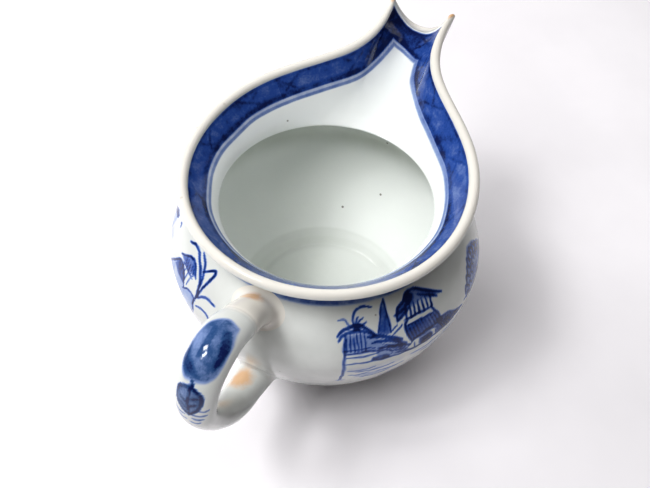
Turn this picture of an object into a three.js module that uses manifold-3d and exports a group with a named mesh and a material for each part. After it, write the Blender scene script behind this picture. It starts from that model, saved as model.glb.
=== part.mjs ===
// A porcelain cream jug: a squat thrown body on a turned foot ring, a flared collar
// drawn out at the front into a long pouring spout with two pointed ears, and a pulled
// strap handle joined to the shoulder and to the lower body.
//
// Millimetres, +Z up. +X points out of the spout, -X towards the handle, and y = 0 is
// the jug's plane of symmetry. The shapes are drawn about the upright axis of the foot
// and body; the finished jug is then moved along X so that the origin, on the table,
// is midway between the handle's outermost bend and the end of the spout.

import * as THREE from 'three';
import { mergeVertices } from 'three/addons/utils/BufferGeometryUtils.js';
import Module from 'manifold-3d';

// ---------------------------------------------------------------- driving dimensions

const footRadius = 28.5;         // outside of the foot ring where it stands
const footWidth = 3.6;           // width of the flat ring that touches the table
const footHeight = 5;            // table to the underside of the base
const footTaper = 1.2;           // how much the ring narrows inside, from table to base

const baseThickness = 3.5;       // underside of the base to the inner floor
const floorInset = 2.5;          // edge of the flat inner floor, inwards from footRadius

const bellyRadius = 52;          // widest outside radius
const bellyHeight = 47.8;        // height of the widest line
const bellyWall = 3;             // wall at the widest line
const lowerFullness = 1.45;      // superellipse exponent between the foot and the belly
const shoulderFullness = 1.44;   // superellipse exponent between the belly and the neck

const shoulderRise = 17.8;       // widest line up to the narrowest ring, the throat
const throatRadius = 34.4;       // inside radius of the throat
const throatWall = 3.5;          // wall thickness at the throat
const throatLand = 1.2;          // height of the throat's upright inner edge

const rimRadius = 46;            // outside radius of the round part of the rim
const rimRise = 12;              // throat to the top of the rim at the back
const lipWidth = 3.4;            // width of the rounded lip
const lipWidthAtEars = 1.9;      // width of the lip where it thins at the spout

const spoutReach = 71;           // centre to the tip of each ear
const spoutHalfWidth = 10.8;     // middle plane to the tip of each ear
const spoutLift = 17.4;          // how far the ears stand above the back of the rim
const liftPower = 2.4;           // how late the rim starts to climb towards the ears
const spoutStartAngle = 52;      // degrees from +X where the rim leaves its circle
const earThroatAngle = 15;       // degrees from +X on the throat below each ear
const notchDepth = 10.4;         // ears down to the pouring edge between them
const notchBulge = 2.6;          // how far the pouring edge stands in front of the ears

const flareCurve = 1.3;          // above 1 the collar rises before it flares
const channelCurve = 1.05;       // the same along the middle of the spout

const handleWidth = 11;          // across the strap at its roots and its outermost bend
const crestWidth = 13;           // across the strap at its crest, where it is widest
const handleThickness = 8;       // through the strap
const handleRootFlare = 1.1;     // how much the strap spreads where it meets the body
const handleReach = 24.8;        // belly to the strap's middle line at the outermost bend
const handleTopRise = 6;         // throat to the strap's middle line at its crest
const handleUpperDrop = 4.1;     // throat down to the upper root's middle
const handleLowerDrop = 19.8;    // widest line down to the lower root's middle
const terminalLength = 9;        // length of each terminal outside the body
const jointGap = 0.3;            // clearance between the handle roots and the body

// ---------------------------------------------------------------- drawing steps

const lathePoints = 72;          // sides of the turned pieces
const profileSteps = 9;          // steps of each curved wall, bottom to top
const collarSteps = 42;          // steps round the collar's circle
const ogeeSteps = 12;            // steps along each side of the spout
const notchSteps = 7;            // steps across the pouring edge
const flareSteps = 6;            // steps from the throat up to the lip
const lipSteps = 4;              // steps round the lip
const strapSides = 16;           // sides of the handle's oval section
const strapSteps = 30;           // rings along the handle

const glaze = (colour) => new THREE.MeshStandardMaterial({
  color: colour,
  roughness: 0.18,
  metalness: 0,
});

// ---------------------------------------------------------------- wall profiles

// A wall line is a superellipse quarter between the widest ring, at bellyHeight, and
// the ring at its other end. This is its radius at height z.
function wallRadius(wall, z) {
  const share = Math.abs(bellyHeight - z) / Math.abs(bellyHeight - wall.endHeight);
  const bulge = Math.pow(1 - Math.pow(Math.min(share, 1), wall.fullness), 1 / wall.fullness);
  return THREE.MathUtils.lerp(wall.endRadius, wall.widest, bulge);
}

// The points of a wall line, from its end ring to the widest ring.
function wallLine(wall) {
  const points = [];
  for (let i = 0; i <= profileSteps; i += 1) {
    const angle = Math.PI / 2 * i / profileSteps;
    const along = Math.pow(Math.cos(angle), 2 / wall.fullness);
    const bulge = Math.pow(Math.sin(angle), 2 / wall.fullness);
    points.push(new THREE.Vector2(
      THREE.MathUtils.lerp(wall.endRadius, wall.widest, bulge),
      THREE.MathUtils.lerp(bellyHeight, wall.endHeight, along)));
  }
  points[0].set(wall.endRadius, wall.endHeight);
  points[profileSteps].set(wall.widest, bellyHeight);
  return points;
}

const floorHeight = footHeight + baseThickness;
const floorRadius = footRadius - floorInset;
const throatHeight = bellyHeight + shoulderRise;
const outerThroatRadius = throatRadius + throatWall;

const outerLower = {
  widest: bellyRadius,
  endRadius: footRadius,
  endHeight: footHeight,
  fullness: lowerFullness,
};
const innerLower = {
  widest: bellyRadius - bellyWall,
  endRadius: floorRadius,
  endHeight: floorHeight,
  fullness: lowerFullness,
};
const outerShoulder = {
  widest: bellyRadius,
  endRadius: outerThroatRadius,
  endHeight: throatHeight,
  fullness: shoulderFullness,
};
const innerShoulder = {
  widest: bellyRadius - bellyWall,
  endRadius: throatRadius,
  endHeight: throatHeight - throatLand,
  fullness: shoulderFullness,
};

// A turned piece from a profile of (radius, height) points. LatheGeometry turns about
// Y, so the result is tipped up to turn about Z.
function turned(points) {
  const geometry = new THREE.LatheGeometry(points, lathePoints);
  geometry.rotateX(Math.PI / 2);
  return geometry;
}

function footRingGeometry() {
  const inner = footRadius - footWidth;
  const edge = 0.6;
  const profile = [
    new THREE.Vector2(inner, 0),
    new THREE.Vector2(footRadius - edge, 0),
    new THREE.Vector2(footRadius, edge),
    new THREE.Vector2(footRadius, footHeight),
    new THREE.Vector2(inner - footTaper, footHeight),
    new THREE.Vector2(inner, 0),
  ];
  return turned(profile);
}

function lowerBodyGeometry() {
  const outside = wallLine(outerLower);
  const inside = wallLine(innerLower).reverse();
  const profile = [
    new THREE.Vector2(0, footHeight),
    ...outside,
    ...inside,
    new THREE.Vector2(0, floorHeight),
  ];
  return turned(profile);
}

function upperBodyGeometry() {
  const outside = wallLine(outerShoulder).reverse();
  const land = new THREE.Vector2(throatRadius, throatHeight);
  const inside = wallLine(innerShoulder);
  const profile = [...outside, land, ...inside, outside[0].clone()];
  return turned(profile);
}

// ---------------------------------------------------------------- collar and spout

// One station of the rim: where the middle of the lip stands, which way is outwards in
// plan, the angle on the throat that it grows from and the width of the lip.
const rimMiddleRadius = rimRadius - lipWidth / 2;
const backHeight = throatHeight + rimRise;
const startAngle = THREE.MathUtils.degToRad(spoutStartAngle);
const earAngle = THREE.MathUtils.degToRad(earThroatAngle);

function rimHeight(x) {
  const share = (x + rimRadius) / (spoutReach + rimRadius);
  return backHeight + spoutLift * Math.pow(Math.max(share, 0), liftPower);
}

function circleStation(angle) {
  const x = rimMiddleRadius * Math.cos(angle);
  const y = rimMiddleRadius * Math.sin(angle);
  return {
    middle: new THREE.Vector3(x, y, rimHeight(x)),
    outward: new THREE.Vector2(Math.cos(angle), Math.sin(angle)),
    throat: angle,
    lip: lipWidth,
  };
}

// The side of the spout leaves the circle along its tangent, and runs out beside the
// middle plane to the ear.
const ogeeStart = new THREE.Vector2(
  rimMiddleRadius * Math.cos(startAngle), rimMiddleRadius * Math.sin(startAngle));
const ear = new THREE.Vector2(spoutReach, spoutHalfWidth);
const ogeeSpan = ear.x - ogeeStart.x;
const ogee = new THREE.CubicBezierCurve(
  ogeeStart,
  new THREE.Vector2(
    ogeeStart.x + 0.46 * ogeeSpan * Math.sin(startAngle),
    ogeeStart.y - 0.46 * ogeeSpan * Math.cos(startAngle)),
  new THREE.Vector2(ear.x - 0.54 * ogeeSpan, ear.y - 0.28 * spoutHalfWidth),
  ear,
);

function ogeeStation(share, side) {
  const point = ogee.getPoint(share);
  const along = ogee.getTangent(share);
  const turn = Math.pow(share, 6) * Math.PI / 4;
  const outward = new THREE.Vector2(-along.y, along.x).rotateAround(
    new THREE.Vector2(0, 0), -turn);
  const thinning = THREE.MathUtils.smoothstep(share, 0.35, 1);
  return {
    middle: new THREE.Vector3(point.x, side * point.y, rimHeight(point.x)),
    outward: new THREE.Vector2(outward.x, side * outward.y),
    throat: side * THREE.MathUtils.lerp(startAngle, earAngle, Math.pow(share, 0.8)),
    lip: THREE.MathUtils.lerp(lipWidth, lipWidthAtEars, thinning),
  };
}

// The pouring edge dips from one ear to the other; share runs from 1 to -1.
function notchStation(share) {
  const dip = 1 - Math.pow(Math.abs(share), 2.2);
  const turn = share * Math.PI / 4;
  return {
    middle: new THREE.Vector3(
      spoutReach + notchBulge * (1 - share * share),
      spoutHalfWidth * share,
      rimHeight(spoutReach) - notchDepth * dip),
    outward: new THREE.Vector2(Math.cos(turn), Math.sin(turn)),
    throat: share * earAngle,
    lip: lipWidthAtEars,
  };
}

// The closed section of the wall at one station, bottom inside first: up the inner
// face, over the lip and down the outer face.
function wallSection(station) {
  const middleShare = Math.cos(station.throat);
  const spoutShare = THREE.MathUtils.smoothstep(middleShare, Math.cos(startAngle), 1);
  const curve = THREE.MathUtils.lerp(flareCurve, channelCurve, spoutShare);
  const across = station.outward;
  const face = (radius, offset) => {
    const foot = new THREE.Vector3(
      radius * Math.cos(station.throat), radius * Math.sin(station.throat), throatHeight);
    const top = new THREE.Vector3(
      station.middle.x + offset * across.x,
      station.middle.y + offset * across.y,
      station.middle.z - station.lip / 2);
    const line = [];
    for (let i = 0; i <= flareSteps; i += 1) {
      const rise = i / flareSteps;
      const flare = Math.pow(rise, curve);
      line.push(new THREE.Vector3(
        THREE.MathUtils.lerp(foot.x, top.x, flare),
        THREE.MathUtils.lerp(foot.y, top.y, flare),
        THREE.MathUtils.lerp(foot.z, top.z, rise)));
    }
    return line;
  };
  const inside = face(throatRadius, -station.lip / 2);
  const outside = face(outerThroatRadius, station.lip / 2);
  const lip = [];
  for (let i = 1; i < lipSteps; i += 1) {
    const turn = Math.PI * i / lipSteps;
    const offset = -Math.cos(turn) * station.lip / 2;
    lip.push(new THREE.Vector3(
      station.middle.x + offset * across.x,
      station.middle.y + offset * across.y,
      station.middle.z - station.lip / 2 + Math.sin(turn) * station.lip / 2));
  }
  return [...inside, ...lip, ...outside.reverse()];
}

// A solid through a row of sections with the same number of points each. The ends are
// closed by pairing each point of the first half with its mate in the second half.
function wallSolid(sections) {
  const count = sections[0].length;
  const positions = sections.flat().flatMap((point) => [point.x, point.y, point.z]);
  const faces = [];
  for (let i = 0; i + 1 < sections.length; i += 1) {
    for (let j = 0; j < count; j += 1) {
      const a = i * count + j;
      const b = i * count + (j + 1) % count;
      faces.push(a, b, a + count, b, b + count, a + count);
    }
  }
  const last = (sections.length - 1) * count;
  for (let j = 0; j + 1 < count - 1 - j; j += 1) {
    const a = j;
    const b = j + 1;
    const c = count - 1 - j;
    const d = count - 2 - j;
    faces.push(a, c, b);
    faces.push(last + a, last + b, last + c);
    if (b < d) {
      faces.push(b, c, d);
      faces.push(last + b, last + d, last + c);
    }
  }
  const geometry = new THREE.BufferGeometry();
  geometry.setAttribute('position', new THREE.Float32BufferAttribute(positions, 3));
  geometry.setIndex(faces);
  return geometry;
}

function collarGeometry() {
  const sections = [];
  const sweep = 2 * (Math.PI - startAngle);
  for (let i = 0; i <= collarSteps; i += 1) {
    sections.push(wallSection(circleStation(startAngle + sweep * i / collarSteps)));
  }
  return wallSolid(sections);
}

function spoutGeometry() {
  const stations = [circleStation(-startAngle)];
  for (let i = 1; i <= ogeeSteps; i += 1) {
    stations.push(ogeeStation(i / ogeeSteps, -1));
  }
  for (let i = 1; i < 2 * notchSteps; i += 1) {
    stations.push(notchStation(-1 + i / notchSteps));
  }
  for (let i = ogeeSteps; i >= 1; i -= 1) {
    stations.push(ogeeStation(i / ogeeSteps, 1));
  }
  stations.push(circleStation(startAngle));
  return wallSolid(stations.map(wallSection));
}

// ---------------------------------------------------------------- handle

// The strap's middle line: out of the shoulder, up over a crest, round the outermost
// bend and back down to the lower body.
const upperRootZ = throatHeight - handleUpperDrop;
const lowerRootZ = bellyHeight - handleLowerDrop;
const upperRootX = -wallRadius(outerShoulder, upperRootZ);
const lowerRootX = -wallRadius(outerLower, lowerRootZ);
const bendX = -(bellyRadius + handleReach);
const crestZ = throatHeight + handleTopRise;
const handleSpanX = upperRootX - bendX;
const strapLine = new THREE.CatmullRomCurve3([
  new THREE.Vector3(upperRootX + 6, 0, upperRootZ - 6),
  new THREE.Vector3(upperRootX, 0, upperRootZ),
  new THREE.Vector3(upperRootX - 0.24 * handleSpanX, 0, crestZ - 4.4),
  new THREE.Vector3(upperRootX - 0.55 * handleSpanX, 0, crestZ),
  new THREE.Vector3(bendX + 0.13 * handleSpanX, 0, crestZ - 3.6),
  new THREE.Vector3(bendX, 0, crestZ - 14),
  new THREE.Vector3(bendX + 0.12 * handleSpanX, 0, lowerRootZ + 17),
  new THREE.Vector3(bendX + 0.45 * handleSpanX, 0, lowerRootZ + 4),
  new THREE.Vector3(lowerRootX, 0, lowerRootZ),
  new THREE.Vector3(lowerRootX + 6, 0, lowerRootZ - 2),
], false, 'centripetal');

const strapLength = strapLine.getLength();
const rootInside = 7;            // length of strap line drawn inside the wall, then cut away
const crestShare = 0.32;         // share of the line at which the strap is widest

// One oval ring of the strap, square to its middle line.
function strapRing(distance) {
  const share = distance / strapLength;
  const centre = strapLine.getPointAt(share);
  const along = strapLine.getTangentAt(share);
  const across = new THREE.Vector3(0, 1, 0);
  const outward = new THREE.Vector3().crossVectors(along, across).normalize();
  const rootDistance = Math.min(distance, strapLength - distance) - rootInside;
  const spread = THREE.MathUtils.smoothstep(terminalLength - rootDistance, 0, terminalLength);
  const scale = THREE.MathUtils.lerp(1, handleRootFlare, spread) / 2;
  const fromCrest = Math.min(Math.abs(share - crestShare) / crestShare, 1);
  const widening = 0.5 + 0.5 * Math.cos(Math.PI * fromCrest);
  const width = THREE.MathUtils.lerp(handleWidth, crestWidth, widening);
  const ring = [];
  for (let i = 0; i < strapSides; i += 1) {
    const angle = 2 * Math.PI * i / strapSides;
    ring.push(centre.clone()
      .addScaledVector(across, width * scale * Math.cos(angle))
      .addScaledVector(outward, handleThickness * scale * Math.sin(angle)));
  }
  return ring;
}

// A solid through a row of convex rings, closed at both ends by a fan.
function ringSolid(rings) {
  const count = rings[0].length;
  const positions = rings.flat().flatMap((point) => [point.x, point.y, point.z]);
  const faces = [];
  for (let i = 0; i + 1 < rings.length; i += 1) {
    for (let j = 0; j < count; j += 1) {
      const a = i * count + j;
      const b = i * count + (j + 1) % count;
      faces.push(a, b, a + count, b, b + count, a + count);
    }
  }
  const last = (rings.length - 1) * count;
  for (let j = 1; j + 1 < count; j += 1) {
    faces.push(0, j + 1, j);
    faces.push(last, last + j, last + j + 1);
  }
  const geometry = new THREE.BufferGeometry();
  geometry.setAttribute('position', new THREE.Float32BufferAttribute(positions, 3));
  geometry.setIndex(faces);
  return geometry;
}

function strapPiece(start, end) {
  const steps = Math.max(3, Math.round(strapSteps * (end - start) / strapLength));
  const rings = [];
  for (let i = 0; i <= steps; i += 1) {
    rings.push(strapRing(start + (end - start) * i / steps));
  }
  return ringSolid(rings);
}

// ---------------------------------------------------------------- boolean cuts

const wasm = await Module();
wasm.setup();

function toManifold(geometry) {
  const bare = geometry.clone();
  bare.deleteAttribute('normal');
  bare.deleteAttribute('uv');
  const merged = mergeVertices(bare);
  return new wasm.Manifold(new wasm.Mesh({
    numProp: 3,
    vertProperties: new Float32Array(merged.attributes.position.array),
    triVerts: new Uint32Array(merged.index.array),
  }));
}

function fromManifold(solid) {
  const mesh = solid.getMesh();
  const geometry = new THREE.BufferGeometry();
  geometry.setAttribute('position', new THREE.BufferAttribute(mesh.vertProperties, 3));
  geometry.setIndex(new THREE.BufferAttribute(mesh.triVerts, 1));
  return geometry;
}

// The body's outside grown by the joint gap, square to its surface, as one full solid.
function grownBody() {
  const lower = wallLine(outerLower);
  const upper = wallLine(outerShoulder).reverse().slice(1);
  const outline = [...lower, ...upper];
  const grown = outline.map((point, i) => {
    const before = outline[Math.max(i - 1, 0)];
    const after = outline[Math.min(i + 1, outline.length - 1)];
    const along = new THREE.Vector2().subVectors(after, before).normalize();
    return new THREE.Vector2(point.x + jointGap * along.y, point.y - jointGap * along.x);
  });
  const profile = [
    new THREE.Vector2(0, grown[0].y),
    ...grown,
    new THREE.Vector2(0, grown[grown.length - 1].y),
  ];
  return toManifold(turned(profile));
}

function rootPiece(start, end) {
  return fromManifold(toManifold(strapPiece(start, end)).subtract(grownBody()));
}

// ---------------------------------------------------------------- the jug

const jug = new THREE.Group();

function addPiece(name, geometry, colour) {
  const mesh = new THREE.Mesh(geometry, glaze(colour));
  mesh.name = name;
  jug.add(mesh);
}

const upperJoint = rootInside + terminalLength;
const lowerJoint = strapLength - rootInside - terminalLength;

addPiece('foot_ring', footRingGeometry(), 0xd9d6cc);
addPiece('lower_body', lowerBodyGeometry(), 0xdfe4e6);
addPiece('upper_body', upperBodyGeometry(), 0xe2e7e9);
addPiece('collar', collarGeometry(), 0xe6e8e4);
addPiece('spout', spoutGeometry(), 0xe4e6e0);
addPiece('handle_upper_terminal', rootPiece(0, upperJoint), 0xdedfd9);
addPiece('handle_loop', strapPiece(upperJoint, lowerJoint), 0xc7d2dd);
addPiece('handle_lower_terminal', rootPiece(lowerJoint, strapLength), 0xdbdad2);

const extent = new THREE.Box3().setFromObject(jug);
jug.position.x = -(extent.min.x + extent.max.x) / 2;

export default jug;
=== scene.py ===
"""A hand-painted porcelain cream jug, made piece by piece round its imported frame."""
import math

import bpy
import numpy as np
from mathutils import Matrix, Vector, kdtree


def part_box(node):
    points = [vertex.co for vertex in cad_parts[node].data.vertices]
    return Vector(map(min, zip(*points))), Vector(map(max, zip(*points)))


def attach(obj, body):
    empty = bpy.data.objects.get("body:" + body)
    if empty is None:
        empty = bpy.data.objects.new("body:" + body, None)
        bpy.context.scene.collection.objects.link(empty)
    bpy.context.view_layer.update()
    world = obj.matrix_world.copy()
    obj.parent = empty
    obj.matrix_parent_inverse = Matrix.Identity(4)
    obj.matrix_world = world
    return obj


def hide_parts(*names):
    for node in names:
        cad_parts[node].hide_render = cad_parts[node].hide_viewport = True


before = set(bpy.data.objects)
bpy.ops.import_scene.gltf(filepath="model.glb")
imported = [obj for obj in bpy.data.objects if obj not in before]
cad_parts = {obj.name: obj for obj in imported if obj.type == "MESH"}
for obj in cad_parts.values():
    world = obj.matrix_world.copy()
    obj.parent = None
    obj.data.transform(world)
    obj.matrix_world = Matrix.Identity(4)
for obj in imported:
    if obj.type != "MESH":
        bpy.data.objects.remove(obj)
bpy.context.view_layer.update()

bl_info = {
    "name": "Porcelain cream jug",
    "version": (1, 0, 0),
    "blender": (4, 5, 0),
    "location": "3D View > Sidebar > Cream jug",
    "description": "Makes a blue-and-white porcelain cream jug piece by piece",
    "category": "Add Mesh",
}

MM = 0.001
FINISHES = {
    "body_glaze": "Painted body glaze",
    "collar_glaze": "Banded collar glaze",
    "handle_glaze": "Dabbed handle glaze",
    "foot_clay": "Foot clay and glaze",
}
FOOT_LOW, FOOT_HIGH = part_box("foot_ring")
AXIS_X = (FOOT_LOW[0] + FOOT_HIGH[0]) / 2 / MM
FOOT_RADIUS = (FOOT_HIGH[0] - FOOT_LOW[0]) / 2
BELLY_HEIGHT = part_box("lower_body")[1][2]
THROAT_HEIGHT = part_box("upper_body")[1][2]

# the settings are in metres, and the functions that make the pieces work in millimetres
WALL_STEP = 0.42          # spacing of the points up the painted shoulder
LOWER_STEP = 1.25 * WALL_STEP
FLOOR_STEP = 0.9          # the same up the bowl's inner face
THROAT_STEP = 0.7         # the same up the shoulder's inner face
LINE_STEP = 0.07          # spacing of points where a wall begins and ends
EAR_TURN = math.pi / 4    # how far the rim's direction turns at an ear
BELLY_SOFTNESS = 0.16     # how far the widest line is rounded over, as a share of the wall
INNER_FACE, LIP_FACE, OUTER_FACE = range(3)
LIP_ROWS = 13
STRAP_SIDES = 84
TINY = 1e-9
STAGE_MIDDLE = (0, 0, 0.05)      # the point that the lights face, in metres
TABLE_HALF = 3.0                 # metres
WALL_TINT = (1.0, 0.965, 1.0)


# ---------------------------------------------------------------- settings

def length(name, description, default):
    return bpy.props.FloatProperty(
        name=name, description=description, default=default, min=0, unit="LENGTH", precision=5)


def amount(name, description, default):
    return bpy.props.FloatProperty(name=name, description=description, default=default, min=0)


def angle(name, description, degrees):
    return bpy.props.FloatProperty(
        name=name, description=description, default=math.radians(degrees), subtype="ANGLE")


def colour(name, description, code):
    """A colour setting from its usual six-digit code, kept as linear light."""
    shares = [int(code[i:i + 2], 16) / 255 for i in (0, 2, 4)]
    linear = [s / 12.92 if s <= 0.04045 else ((s + 0.055) / 1.055) ** 2.4 for s in shares]
    return bpy.props.FloatVectorProperty(
        name=name, description=description, default=linear, min=0, max=1, subtype="COLOR")


class JugBodySizes(bpy.types.PropertyGroup):
    """Sizes of the turned body and its foot."""
    foot_radius: length("Foot radius", "Outside of the foot ring", FOOT_RADIUS)
    foot_width: length("Foot width", "Width of the standing edge", 3.6 * MM)
    foot_height: length("Foot height", "Table to the underside of the base", FOOT_HIGH[2])
    foot_taper: length("Foot taper", "How much the ring narrows inside", 1.2 * MM)
    base_thickness: length("Base thickness", "Underside of the base to the inner floor", 3.5 * MM)
    floor_inset: length("Floor inset", "Edge of the inner floor, inwards from the foot", 2.5 * MM)
    belly_radius: length("Belly radius", "Widest outside radius", 52 * MM)
    belly_height: length("Belly height", "Height of the widest line", BELLY_HEIGHT)
    belly_wall: length("Belly wall", "Wall thickness at the widest line", 3 * MM)
    lower_fullness: amount("Lower fullness", "Roundness between foot and belly", 1.45)
    shoulder_fullness: amount("Shoulder fullness", "Roundness between belly and neck", 1.44)
    throat_height: length("Throat height", "Height of the narrowest ring", THROAT_HEIGHT)
    throat_radius: length("Throat radius", "Inside radius of the throat", 34.4 * MM)
    throat_wall: length("Throat wall", "Wall thickness at the throat", 3.5 * MM)
    throat_land: length("Throat land", "Height of the throat's upright edge", 1.2 * MM)


class JugCollarSizes(bpy.types.PropertyGroup):
    """Sizes of the collar, the lip and the pouring spout."""
    rim_radius: length("Rim radius", "Outside radius of the round part of the rim", 46 * MM)
    rim_rise: length("Rim rise", "Throat to the top of the rim at the back", 12 * MM)
    lip_width: length("Lip width", "Width of the rounded lip", 3.4 * MM)
    ear_lip_width: length("Lip width at the ears", "Width of the lip at the spout's end", 2.5 * MM)
    spout_reach: length("Spout reach", "Centre to the tip of each ear", 71 * MM)
    spout_half_width: length("Spout half width", "Middle plane to an ear's tip", 10.8 * MM)
    spout_lift: length("Spout lift", "How far the ears stand above the back", 17.4 * MM)
    lift_power: amount("Lift power", "How late the rim starts to climb", 2.4)
    spout_start: angle("Spout start", "Where the rim leaves its circle", 52)
    ear_throat: angle("Ear on throat", "Where the wall below an ear meets the throat", 15)
    notch_depth: length("Notch depth", "Ears down to the pouring edge", 10.4 * MM)
    notch_bulge: length("Notch bulge", "How far the pouring edge stands forward", 2.6 * MM)
    flare_curve: amount("Flare curve", "Above one the collar rises before it flares", 1.3)
    channel_curve: amount("Channel curve", "The same along the middle of the spout", 1.05)


class JugHandleSizes(bpy.types.PropertyGroup):
    """Sizes of the strap handle."""
    width: length("Width", "Across the strap at its roots and bend", 11 * MM)
    crest_width: length("Crest width", "Across the strap where it is widest", 13 * MM)
    thickness: length("Thickness", "Through the strap", 8 * MM)
    root_flare: amount("Root flare", "How much the strap spreads at the body", 1.1)
    reach: length("Reach", "Belly to the strap's middle line at the bend", 24.8 * MM)
    top_rise: length("Top rise", "Throat to the middle line at its crest", 6 * MM)
    upper_drop: length("Upper drop", "Throat down to the upper root", 4.1 * MM)
    lower_drop: length("Lower drop", "Widest line down to the lower root", 19.8 * MM)
    terminal: length("Terminal length", "Length of each terminal outside the body", 9 * MM)
    fillet: length("Fillet", "Clay smoothed out onto the body round a root", 2.2 * MM)


class JugColours(bpy.types.PropertyGroup):
    """Colours of the glaze, the painting, the bare clay and the stage."""
    # painted light and shade: inside and out are one glaze, but the outside takes this greyer colour as
    # painted shade and the inside the whiter one below as painted light; the whiter colour also makes
    # the clouds in the outside's glaze
    glaze: colour("Glaze", "Greyish-white glaze outside", "CACCC9")
    lit_inner_glaze: colour("Inner glaze", "Whiter glaze inside, and clouds in the outside's", "F1F4F1")
    lip: colour("Lip", "Warm tint of the thin glaze on the lip", "E4DED5")
    wash: colour("Cobalt wash", "Cobalt laid on thin", "8598C2")
    cobalt: colour("Cobalt", "Cobalt laid on full", "2F4F96")
    grey_cobalt: colour("Greyed cobalt", "The duller cobalt dabbed on the handle", "34527F")
    deep_cobalt: colour("Deep cobalt", "Cobalt where strokes cross or pool", "152252")
    iron: colour("Iron stain", "Orange-brown stain in worn glaze", "D3A26C")
    # painted shade: this green-grey darkens the inside where shade falls, over the inner floor, round
    # the widest line and under the throat's edge; a little more of it in the cove round the floor is
    # glaze pooled there
    shade_and_thick_glaze: colour("Thick glaze", "Green-grey glaze pooled in hollows", "8B937F")
    clay: colour("Bare clay", "Unglazed standing edge of the foot", "CDBEA6")
    table: colour("Table", "Plain pale floor", "F3F0F3")


class JugView(bpy.types.PropertyGroup):
    """The camera and the lights."""
    place: bpy.props.FloatVectorProperty(
        name="Camera place", description="Where the camera stands", subtype="TRANSLATION",
        unit="LENGTH", default=(-0.13252, -0.06300, 0.23307), precision=4)
    heading: angle("Heading", "Which way the camera looks over the table, from +X", 24.89)
    dip: angle("Dip", "How far the camera looks down", 52)
    roll: angle("Roll", "How far the camera is tipped about its own line of sight", 2.59)
    lens: amount("Lens", "Focal length in millimetres on a 36 mm sensor", 38.77)
    key: amount("Key light", "Power of the large soft light from the left in watts", 4.9)
    side: amount("Side light", "Power of the low light across the jug in watts", 3.9)
    back: amount("Back light", "Power of the low light behind the spout in watts", 1.9)
    fill: amount("Fill light", "Power of the weak light from the right in watts", 1.1)
    top: amount("Top light", "Power of the light over the handle in watts", 1.7)
    window: amount("Window light", "Power of each small window pane in watts", 0.8)
    sky: amount("Sky", "Strength of the even light from all round", 0.03)
    backdrop: amount("Backdrop", "Brightness of the plain wall seen behind the table", 0.7)


# ---------------------------------------------------------------- meshes

def smoothstep(value, low, high):
    """Nothing below low, one above high, and an eased climb between them."""
    t = np.clip((value - low) / (high - low), 0, 1)
    return t * t * (3 - 2 * t)


def hump(value, middle, width):
    """A smooth bump of height one round a middle value."""
    return np.exp(-((value - middle) / width) ** 2)


def spaced(start, end, step, fine):
    """Values from start to end, about step apart, drawing together to fine at both ends."""
    spare = 1.25             # more points than even steps need, for the fine ends
    easing = 6 * step        # distance over which the spacing grows to step
    count = max(int(math.ceil(abs(end - start) / step * spare)), 8)
    share = np.linspace(0, 1, count * 4 + 1)
    near_end = np.minimum(share, 1 - share) * abs(end - start)
    pace = fine + (step - fine) * np.clip(near_end / easing, 0, 1)
    travelled = np.concatenate([[0], np.cumsum(1 / pace[1:])])
    wanted = np.linspace(0, travelled[-1], count + 1)
    return start + (end - start) * np.interp(wanted, travelled, share)


def placed(name, data):
    """A new object in the scene, at the origin."""
    made = bpy.data.objects.new(name, data)
    bpy.context.scene.collection.objects.link(made)
    return made


def bare_mesh(name, points, faces, values, crease=38):
    """A smooth mesh object from points in millimetres, with one value per point and name.

    Edges that turn by more than the crease, in degrees, stay sharp.
    """
    mesh = bpy.data.meshes.new(name)
    mesh.from_pydata((np.asarray(points) * MM).tolist(), [], faces)
    for key, numbers in values.items():
        layer = mesh.attributes.new(key, "FLOAT", "POINT")
        layer.data.foreach_set("value", np.asarray(numbers, dtype=np.float32).ravel())
    mesh.shade_smooth()
    mesh.set_sharp_from_angle(angle=math.radians(crease))
    if mesh.validate():
        raise RuntimeError(f"{name} has a broken face")
    return placed(name, mesh)


def quads(rows, columns, close_rows, close_columns, first=0):
    """Faces over a grid of points held row by row."""
    row = np.arange(rows if close_rows else rows - 1)
    column = np.arange(columns if close_columns else columns - 1)
    low, left = np.meshgrid(row, column, indexing="ij")
    high = (low + 1) % rows
    right = (left + 1) % columns
    corners = [low * columns + left, low * columns + right,
               high * columns + right, high * columns + left]
    return (np.stack([c.ravel() for c in corners], axis=1) + first).tolist()


def turned_mesh(name, radius, height, turns, values):
    """A body turned about the jug's axis; its outline runs from axis to axis or closes."""
    closed = radius[0] > 0.001
    keep = slice(None) if closed else slice(1, -1)
    r, z = radius[keep], height[keep]
    points = np.stack([
        AXIS_X + r[:, None] * np.cos(turns)[None, :],
        r[:, None] * np.sin(turns)[None, :],
        np.repeat(z[:, None], len(turns), axis=1)], axis=2).reshape(-1, 3)
    values = {key: np.asarray(v)[keep].reshape(-1) for key, v in values.items()}
    faces = quads(len(r), len(turns), closed, True)
    if not closed:
        count = len(turns)
        low, high = len(points), len(points) + 1
        points = np.vstack([points, [[AXIS_X, 0, height[0]], [AXIS_X, 0, height[-1]]]])
        last = (len(r) - 1) * count
        for i in range(count):
            j = (i + 1) % count
            faces.append((low, j, i))
            faces.append((high, last + i, last + j))
        values = {key: np.concatenate([v, v[:1], v[-1:]]) for key, v in values.items()}
    return bare_mesh(name, points, faces, values)


def settle(piece, node, slot):
    """Finish a piece: its material, the body it rides on and the node it stands for."""
    piece.data.materials.append(bpy.data.materials[FINISHES[slot]])
    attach(piece, "root")
    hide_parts(node)


# ---------------------------------------------------------------- brushwork

def run_on(points):
    """Points with one more at each end, straight on."""
    return np.vstack([2 * points[0] - points[1], points, 2 * points[-1] - points[-2]])


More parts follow.
